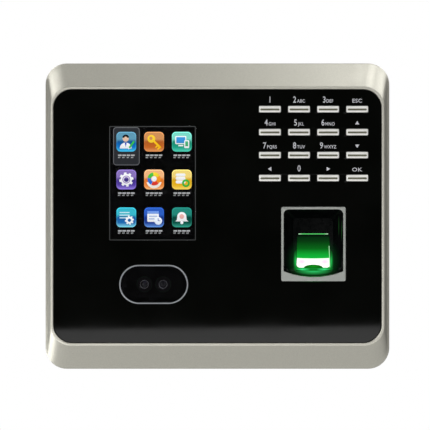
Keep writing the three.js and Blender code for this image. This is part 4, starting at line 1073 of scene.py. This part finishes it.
def screen_outline():
    """The hairline round the lit area and the box round the chosen tile."""
    inner_w, inner_h = SCREEN_W - 2 * HAIRLINE, SCREEN_H - 2 * HAIRLINE
    outer = rounded(SCREEN_W, SCREEN_H, 0.4 * MM, SCREEN_X, SCREEN_Z)
    inner = rounded(inner_w, inner_h, 0.3 * MM, SCREEN_X, SCREEN_Z)
    on_screen("screen_outline", [outer, inner], lit((72, 74, 74)), 1)
    box = rounded(CHOICE_W, CHOICE_H, CHOICE_R, CHOICE_X, CHOICE_Z)
    on_screen("choice_fill", [box], lit((44, 46, 50)), 1)
    hole = rounded(CHOICE_W - 2 * HAIRLINE, CHOICE_H - 2 * HAIRLINE, CHOICE_R - HAIRLINE,
                   CHOICE_X, CHOICE_Z)
    on_screen("choice_border", [box, hole], lit((110, 112, 116)), 2)


TOOTH = 0.22  # of a wheel's radius


def gear(radius, teeth, x=0.0, z=0.0):
    """A toothed wheel's outline."""
    points = []
    step = 360 / teeth
    for i in range(teeth):
        start = i * step
        points += arc(x, z, radius, start, start + step * 0.45, 2)
        points += arc(x, z, radius * (1 - TOOTH), start + step * 0.55, start + step * 0.92, 2)
    return points


def ring_slice(r_out, r_in, start, end, x, z):
    return arc(x, z, r_out, start, end, 10) + arc(x, z, r_in, end, start, 10)


WHITE = (244, 246, 248)
SWIRL = [(100, 170, (70, 200, 70)), (30, 98, (250, 220, 50)), (-42, 28, (250, 150, 30)),
         (-115, -44, (226, 56, 40)), (-188, -117, (50, 110, 220))]
BELL = arc(0, 0.4, 2.2, 0, 180, 14) + [(-2.4, -1.2), (-3.2, -2.0), (3.2, -2.0), (2.4, -1.2)]

# Each drawing: (outlines in mm round the tile's middle, colour, layer). The first outline is outside.
DRAWINGS = {
    "people": [
        ([disc(1.5, -0.3, 1.5)], (232, 196, 170), 3),
        ([ring_slice(1.75, 0.75, 10, 170, -0.3, 1.75)], (18, 16, 20), 4),
        ([arc(-0.3, -3.3, 2.9, 0, 180, 16)], WHITE, 3),
        ([[(-0.8, -0.5), (0.2, -0.5), (-0.3, -2.6)]], (40, 70, 190), 4),
        ([turned(bar(-0.45, -2.0, 0.45, 2.0), -35, 2.6, -1.4)], (60, 190, 70), 4),
        ([turned([(-0.45, -2.0), (0.45, -2.0), (0, -2.9)], -35, 2.6, -1.4)], WHITE, 4),
    ],
    "key": [
        ([disc(1.9, -1.3, 1.4), disc(0.8, -1.5, 1.7)], (255, 214, 52), 3),
        ([turned(bar(0, -0.5, 4.8, 0.5), -45, -0.2, 0.4)], (250, 196, 30), 3),
        ([turned(bar(2.6, -1.7, 3.3, -0.5), -45, -0.2, 0.4)], (250, 196, 30), 3),
        ([turned(bar(3.9, -1.7, 4.6, -0.5), -45, -0.2, 0.4)], (250, 196, 30), 3),
    ],
    "devices": [
        ([rounded(5.4, 4.0, 0.5, -0.5, 0.8), rounded(4.4, 3.0, 0.3, -0.5, 0.8)], WHITE, 3),
        ([bar(-2.6, -0.6, 1.6, 2.2)], (58, 150, 226), 3),
        ([bar(-1.7, -2.2, 0.7, -1.6)], WHITE, 3),
        ([rounded(2.4, 3.8, 0.4, 2.4, -1.2)], WHITE, 4),
        ([bar(1.7, -2.2, 3.1, 0.2)], (70, 176, 120), 5),
    ],
    "gear": [
        ([gear(3.5, 8), disc(1.2)], WHITE, 3),
        ([disc(1.9), disc(1.5)], (150, 120, 196), 4),
    ],
    "swirl": [
        *[([ring_slice(3.2, 1.5, start, end, 0, 0.3)], color, 4) for start, end, color in SWIRL],
        ([disc(1.3, 0, 0.3)], WHITE, 4),
        ([arc(0, -0.6, 3.7, 190, 350, 16)], (240, 236, 228), 3),
    ],
    "discs": [
        *[([stadium(4.8, 1.5, -0.6, z)], WHITE, 3) for z in (2.2, 0.5, -1.2)],
        ([disc(1.9, 2.0, -1.8), disc(0.95, 2.0, -1.8)], (52, 178, 66), 4),
    ],
    "list": [
        ([bar(-3.3, 2.1, 1.6, 2.6)], (206, 236, 244), 3),
        ([bar(-3.3, 0.8, 1.6, 1.3)], (206, 236, 244), 3),
        ([bar(-3.3, -0.5, 0.4, 0.0)], (206, 236, 244), 3),
        ([gear(2.2, 8, 1.5, -1.4), disc(0.8, 1.5, -1.4)], WHITE, 4),
    ],
    "calendar": [
        ([rounded(5.6, 5.2, 0.5, -0.5, 0.4)], WHITE, 3),
        ([bar(-3.3, 1.7, 2.3, 3.0)], (120, 160, 236), 4),
        ([bar(-2.5, 0.3, 1.5, 0.8)], (150, 176, 226), 4),
        ([bar(-2.5, -1.0, 0.2, -0.5)], (150, 176, 226), 4),
        ([disc(1.9, 2.0, -1.7)], (236, 244, 255), 5),
        ([bar(1.85, -1.8, 2.15, -0.5)], (30, 60, 160), 6),
        ([bar(1.85, -1.8, 3.0, -1.55)], (30, 60, 160), 6),
    ],
    "bell": [
        ([BELL], WHITE, 3),
        ([disc(0.75, 0, -2.6)], WHITE, 3),
        ([disc(1.15, 0, 0.4)], (236, 176, 170), 4),
    ],
}

# Tile colours from bottom to top, in reading order, with the drawing on each.
TILES = [
    ("people", (70, 196, 240), (16, 116, 200), (14, 84, 150), (96, 156, 184)),
    ("key", (228, 152, 92), (198, 102, 36), (178, 92, 36), (212, 146, 90)),
    ("devices", (84, 210, 184), (26, 160, 132), (18, 132, 106), (124, 222, 204)),
    ("gear", (150, 128, 226), (82, 60, 164), (62, 44, 124), (138, 116, 190)),
    ("swirl", (252, 184, 122), (238, 130, 44), (228, 118, 34), (244, 184, 130)),
    ("discs", (252, 216, 98), (232, 182, 30), (224, 170, 18), (244, 218, 124)),
    ("list", (128, 218, 236), (30, 108, 178), (22, 88, 160), (56, 186, 206)),
    ("calendar", (100, 150, 226), (22, 58, 146), (16, 50, 132), (44, 94, 196)),
    ("bell", (52, 160, 138), (8, 80, 68), (8, 68, 58), (34, 136, 122)),
]


def caption(name, x, z):
    """A row of plain blocks, each of three bars, as one piece."""
    back = PICTURE_Y - 2 * LAYER
    bars = []
    for block in range(BLOCKS):
        left = x + (block - (BLOCKS - 1) / 2) * BLOCK_PITCH - BLOCK_W / 2
        low = z - BLOCK_H / 2
        stem = left + BLOCK_W / 2
        bars += [
            bar(left, low + (BLOCK_H + BLOCK_CUT) / 2, left + BLOCK_W, low + BLOCK_H),
            bar(stem - BLOCK_CUT / 2, low, stem + BLOCK_CUT / 2, low + (BLOCK_H - BLOCK_CUT) / 2),
            bar(left, low, stem - BLOCK_CUT, low + BLOCK_H / 2 - BLOCK_CUT),
        ]
    mesh = joined([slab_mesh([outline], back, back - PRINT_T) for outline in bars])
    put(name, mesh, lit((176, 178, 180)))


def tile(number, drawing, *colors):
    """One icon: a glossy rounded tile with a bright edge, its drawing and its caption."""
    row, column = divmod(number, 3)
    x = SCREEN_X + ICON_SHIFT_X + (column - 1) * ICON_PITCH_X
    z = SCREEN_Z + ICON_SHIFT_Z - (row - 1) * ICON_PITCH_Z
    name = "tile_" + drawing
    bottom, low, high, top = (srgb(*color) for color in colors)
    whole = rounded(ICON, ICON, ICON_R, x, z)
    stops = [(0.0, bottom), (0.22, low), (0.5, high), (0.64, top), (1.0, top)]
    on_screen(name, [whole], glowing(name, stops), 2)
    rim = [(0.0, bottom), (0.4, low), (0.6, top), (1.0, scaled(top, RIM_GLARE))]
    inner = rounded(ICON - 2 * RIM_LINE, ICON - 2 * RIM_LINE, ICON_R - RIM_LINE, x, z)
    on_screen(name + "_rim", [whole, inner], glowing(name + "_rim", rim), 3)
    for part, (outlines, color, layer) in enumerate(DRAWINGS[drawing]):
        moved = [[(x + px * MM, z + pz * MM) for px, pz in outline] for outline in outlines]
        on_screen("{}_{}".format(name, part + 1), moved, lit(color), layer)
    caption(name + "_caption", x, z - LABEL_DROP)


def screen():
    screen_outline()
    for number, (drawing, *colors) in enumerate(TILES):
        tile(number, drawing, *colors)


# ---- stage, light and camera

CAMERA_LENS = 600  # mm
CAMERA_AWAY = 3.493  # from the frame's widest section
CAMERA_X, CAMERA_Z = -1.19 * MM, 0.54 * MM
WIDEST = -24.4 * MM
FLOOR_R = 0.95
FLOOR_HALF_T = 0.002
FLOOR_GLOW = 0.74
FLOOR_Z = FRAME.z - FRAME.h / 2 - 0.16  # 0.16 m below the frame


def floor():
    """A pale disc that lights nothing: a softbox just above it stands in for its bounce."""
    mesh = slab_mesh([disc(FLOOR_R, 0, 0, 64)], FLOOR_HALF_T, -FLOOR_HALF_T, FLOOR_HALF_T / 2)
    mesh.transform(Matrix.Translation((0, 0, FLOOR_Z)) @ Matrix.Rotation(math.pi / 2, 4, "X"))
    obj = as_object("floor", mesh)
    material = shader("floor", (0.25, 0.25, 0.25), 0.8, Emission_Color=(1, 1, 0.98, 1),
                      Emission_Strength=FLOOR_GLOW)
    obj.data.materials.append(mottle(material, 0.3, (0.24, 0.24, 0.24), (0.26, 0.26, 0.26)))
    obj.visible_diffuse = False
    obj.visible_glossy = False


def softbox(name, where, target, width, height, radiance):
    """A rectangular light at one place, facing another, of a given brightness."""
    light = bpy.data.lights.new(name, "AREA")
    light.shape = "RECTANGLE"
    light.size = width
    light.size_y = height
    light.energy = radiance * math.pi * width * height
    obj = new_object(name, light)
    obj.location = where
    obj.rotation_euler = (Vector(target) - Vector(where)).to_track_quat("-Z", "Y").to_euler()
    obj.visible_camera = False
    return obj


def world():
    """White to the camera; to every other ray a dim room."""
    new = bpy.data.worlds.new("studio")
    new.use_nodes = True
    new.node_tree.nodes.clear()
    path = add_node(new, "LightPath")
    room = add_node(new, "Background", Color=(0.02, 0.02, 0.02, 1))
    white = add_node(new, "Background", Color=(1, 1, 1, 1))
    choice = add_node(new, "MixShader")
    output = add_node(new, "OutputWorld")
    link(new, path.outputs["Is Camera Ray"], choice, "Fac")
    link(new, room.outputs["Background"], choice, 1)
    link(new, white.outputs["Background"], choice, 2)
    link(new, choice.outputs["Shader"], output, "Surface")
    bpy.context.scene.world = new


MIDDLE = (0, -0.03, 0)
# Each light: its name, place and target, its width and height, and its radiance.
LIGHTS = [
    ("overhead", (0.0, -0.36, 0.86), MIDDLE, 1.3, 0.5, 0.46),
    ("near_right", (0.15, -0.2, 0.42), (0.08, -0.03, 0.07), 0.16, 0.14, 3.9),
    ("corner_left", (-0.62, -0.04, 0.6), MIDDLE, 0.55, 0.6, 3.0),
    ("corner_right", (0.62, -0.04, 0.6), MIDDLE, 0.5, 0.5, 3.0),
    ("key_right", (0.72, -0.62, 0.66), MIDDLE, 0.5, 0.5, 1.4),
    ("fill_left", (-0.85, -0.5, -0.1), MIDDLE, 0.5, 0.9, 0.18),
    ("near_left", (-0.24, -0.02, -0.13), (-0.08, -0.03, -0.07), 0.14, 0.14, 3.1),
    ("front_left", (-0.33, -1.2, 0.0), MIDDLE, 0.3, 0.6, 3.6),
    ("front_right", (0.24, -1.1, 0.32), MIDDLE, 0.25, 0.25, 4.2),
    ("rear_left", (-0.5, 0.55, -0.2), MIDDLE, 0.5, 0.9, 0.25),
    ("rear", (0, 0.9, 0.05), MIDDLE, 0.4, 0.4, 2.0),
    ("rear_top", (0.1, 0.8, 0.6), MIDDLE, 0.9, 0.5, 1.05),
    ("floor_bounce", (0, 0, FLOOR_Z + 0.003), (0, 0, 1), 1.7, 1.7, 0.26),
    ("bounce", (0, -0.16, -0.225), (0, -0.03, -0.07), 1.2, 0.34, 0.29),
]
LOW_CARD_Z = -0.2738  # its reflection is the pale band across the foot of the panel
LOW_CARD_TILT = math.radians(0.6)


def lights():
    for light in LIGHTS:
        softbox(*light)
    low = softbox("low_card", (0, -0.63, LOW_CARD_Z), (0, 0, LOW_CARD_Z), 1.6, 0.42, 1.05)
    low.rotation_euler.rotate_axis("Z", LOW_CARD_TILT)


def camera():
    data = bpy.data.cameras.new("camera")
    data.lens = CAMERA_LENS
    data.dof.use_dof = False
    data.clip_end = 20
    obj = new_object("camera", data)
    obj.location = (CAMERA_X, WIDEST - CAMERA_AWAY, CAMERA_Z)
    obj.rotation_euler = (math.pi / 2, 0, 0)
    bpy.context.scene.camera = obj


# ---- the whole

front_frame()
frame_web()
front_panel()
window_insert()
camera_ring()
camera_window()
for side in ("left", "right"):
    lens("camera_lens_" + side, "camera_barrel_" + side)
for row in KEYS:
    for node, sign, letters in row:
        key_bar(node)
        legend(node, sign, letters)
reader_bezel()
reader_well()
prism()
side_lights()
glowing_lip()
usb_flap()
screen()
dress_kept()

bpy.context.scene.view_settings.view_transform = "Standard"
world()
floor()
lights()
camera()
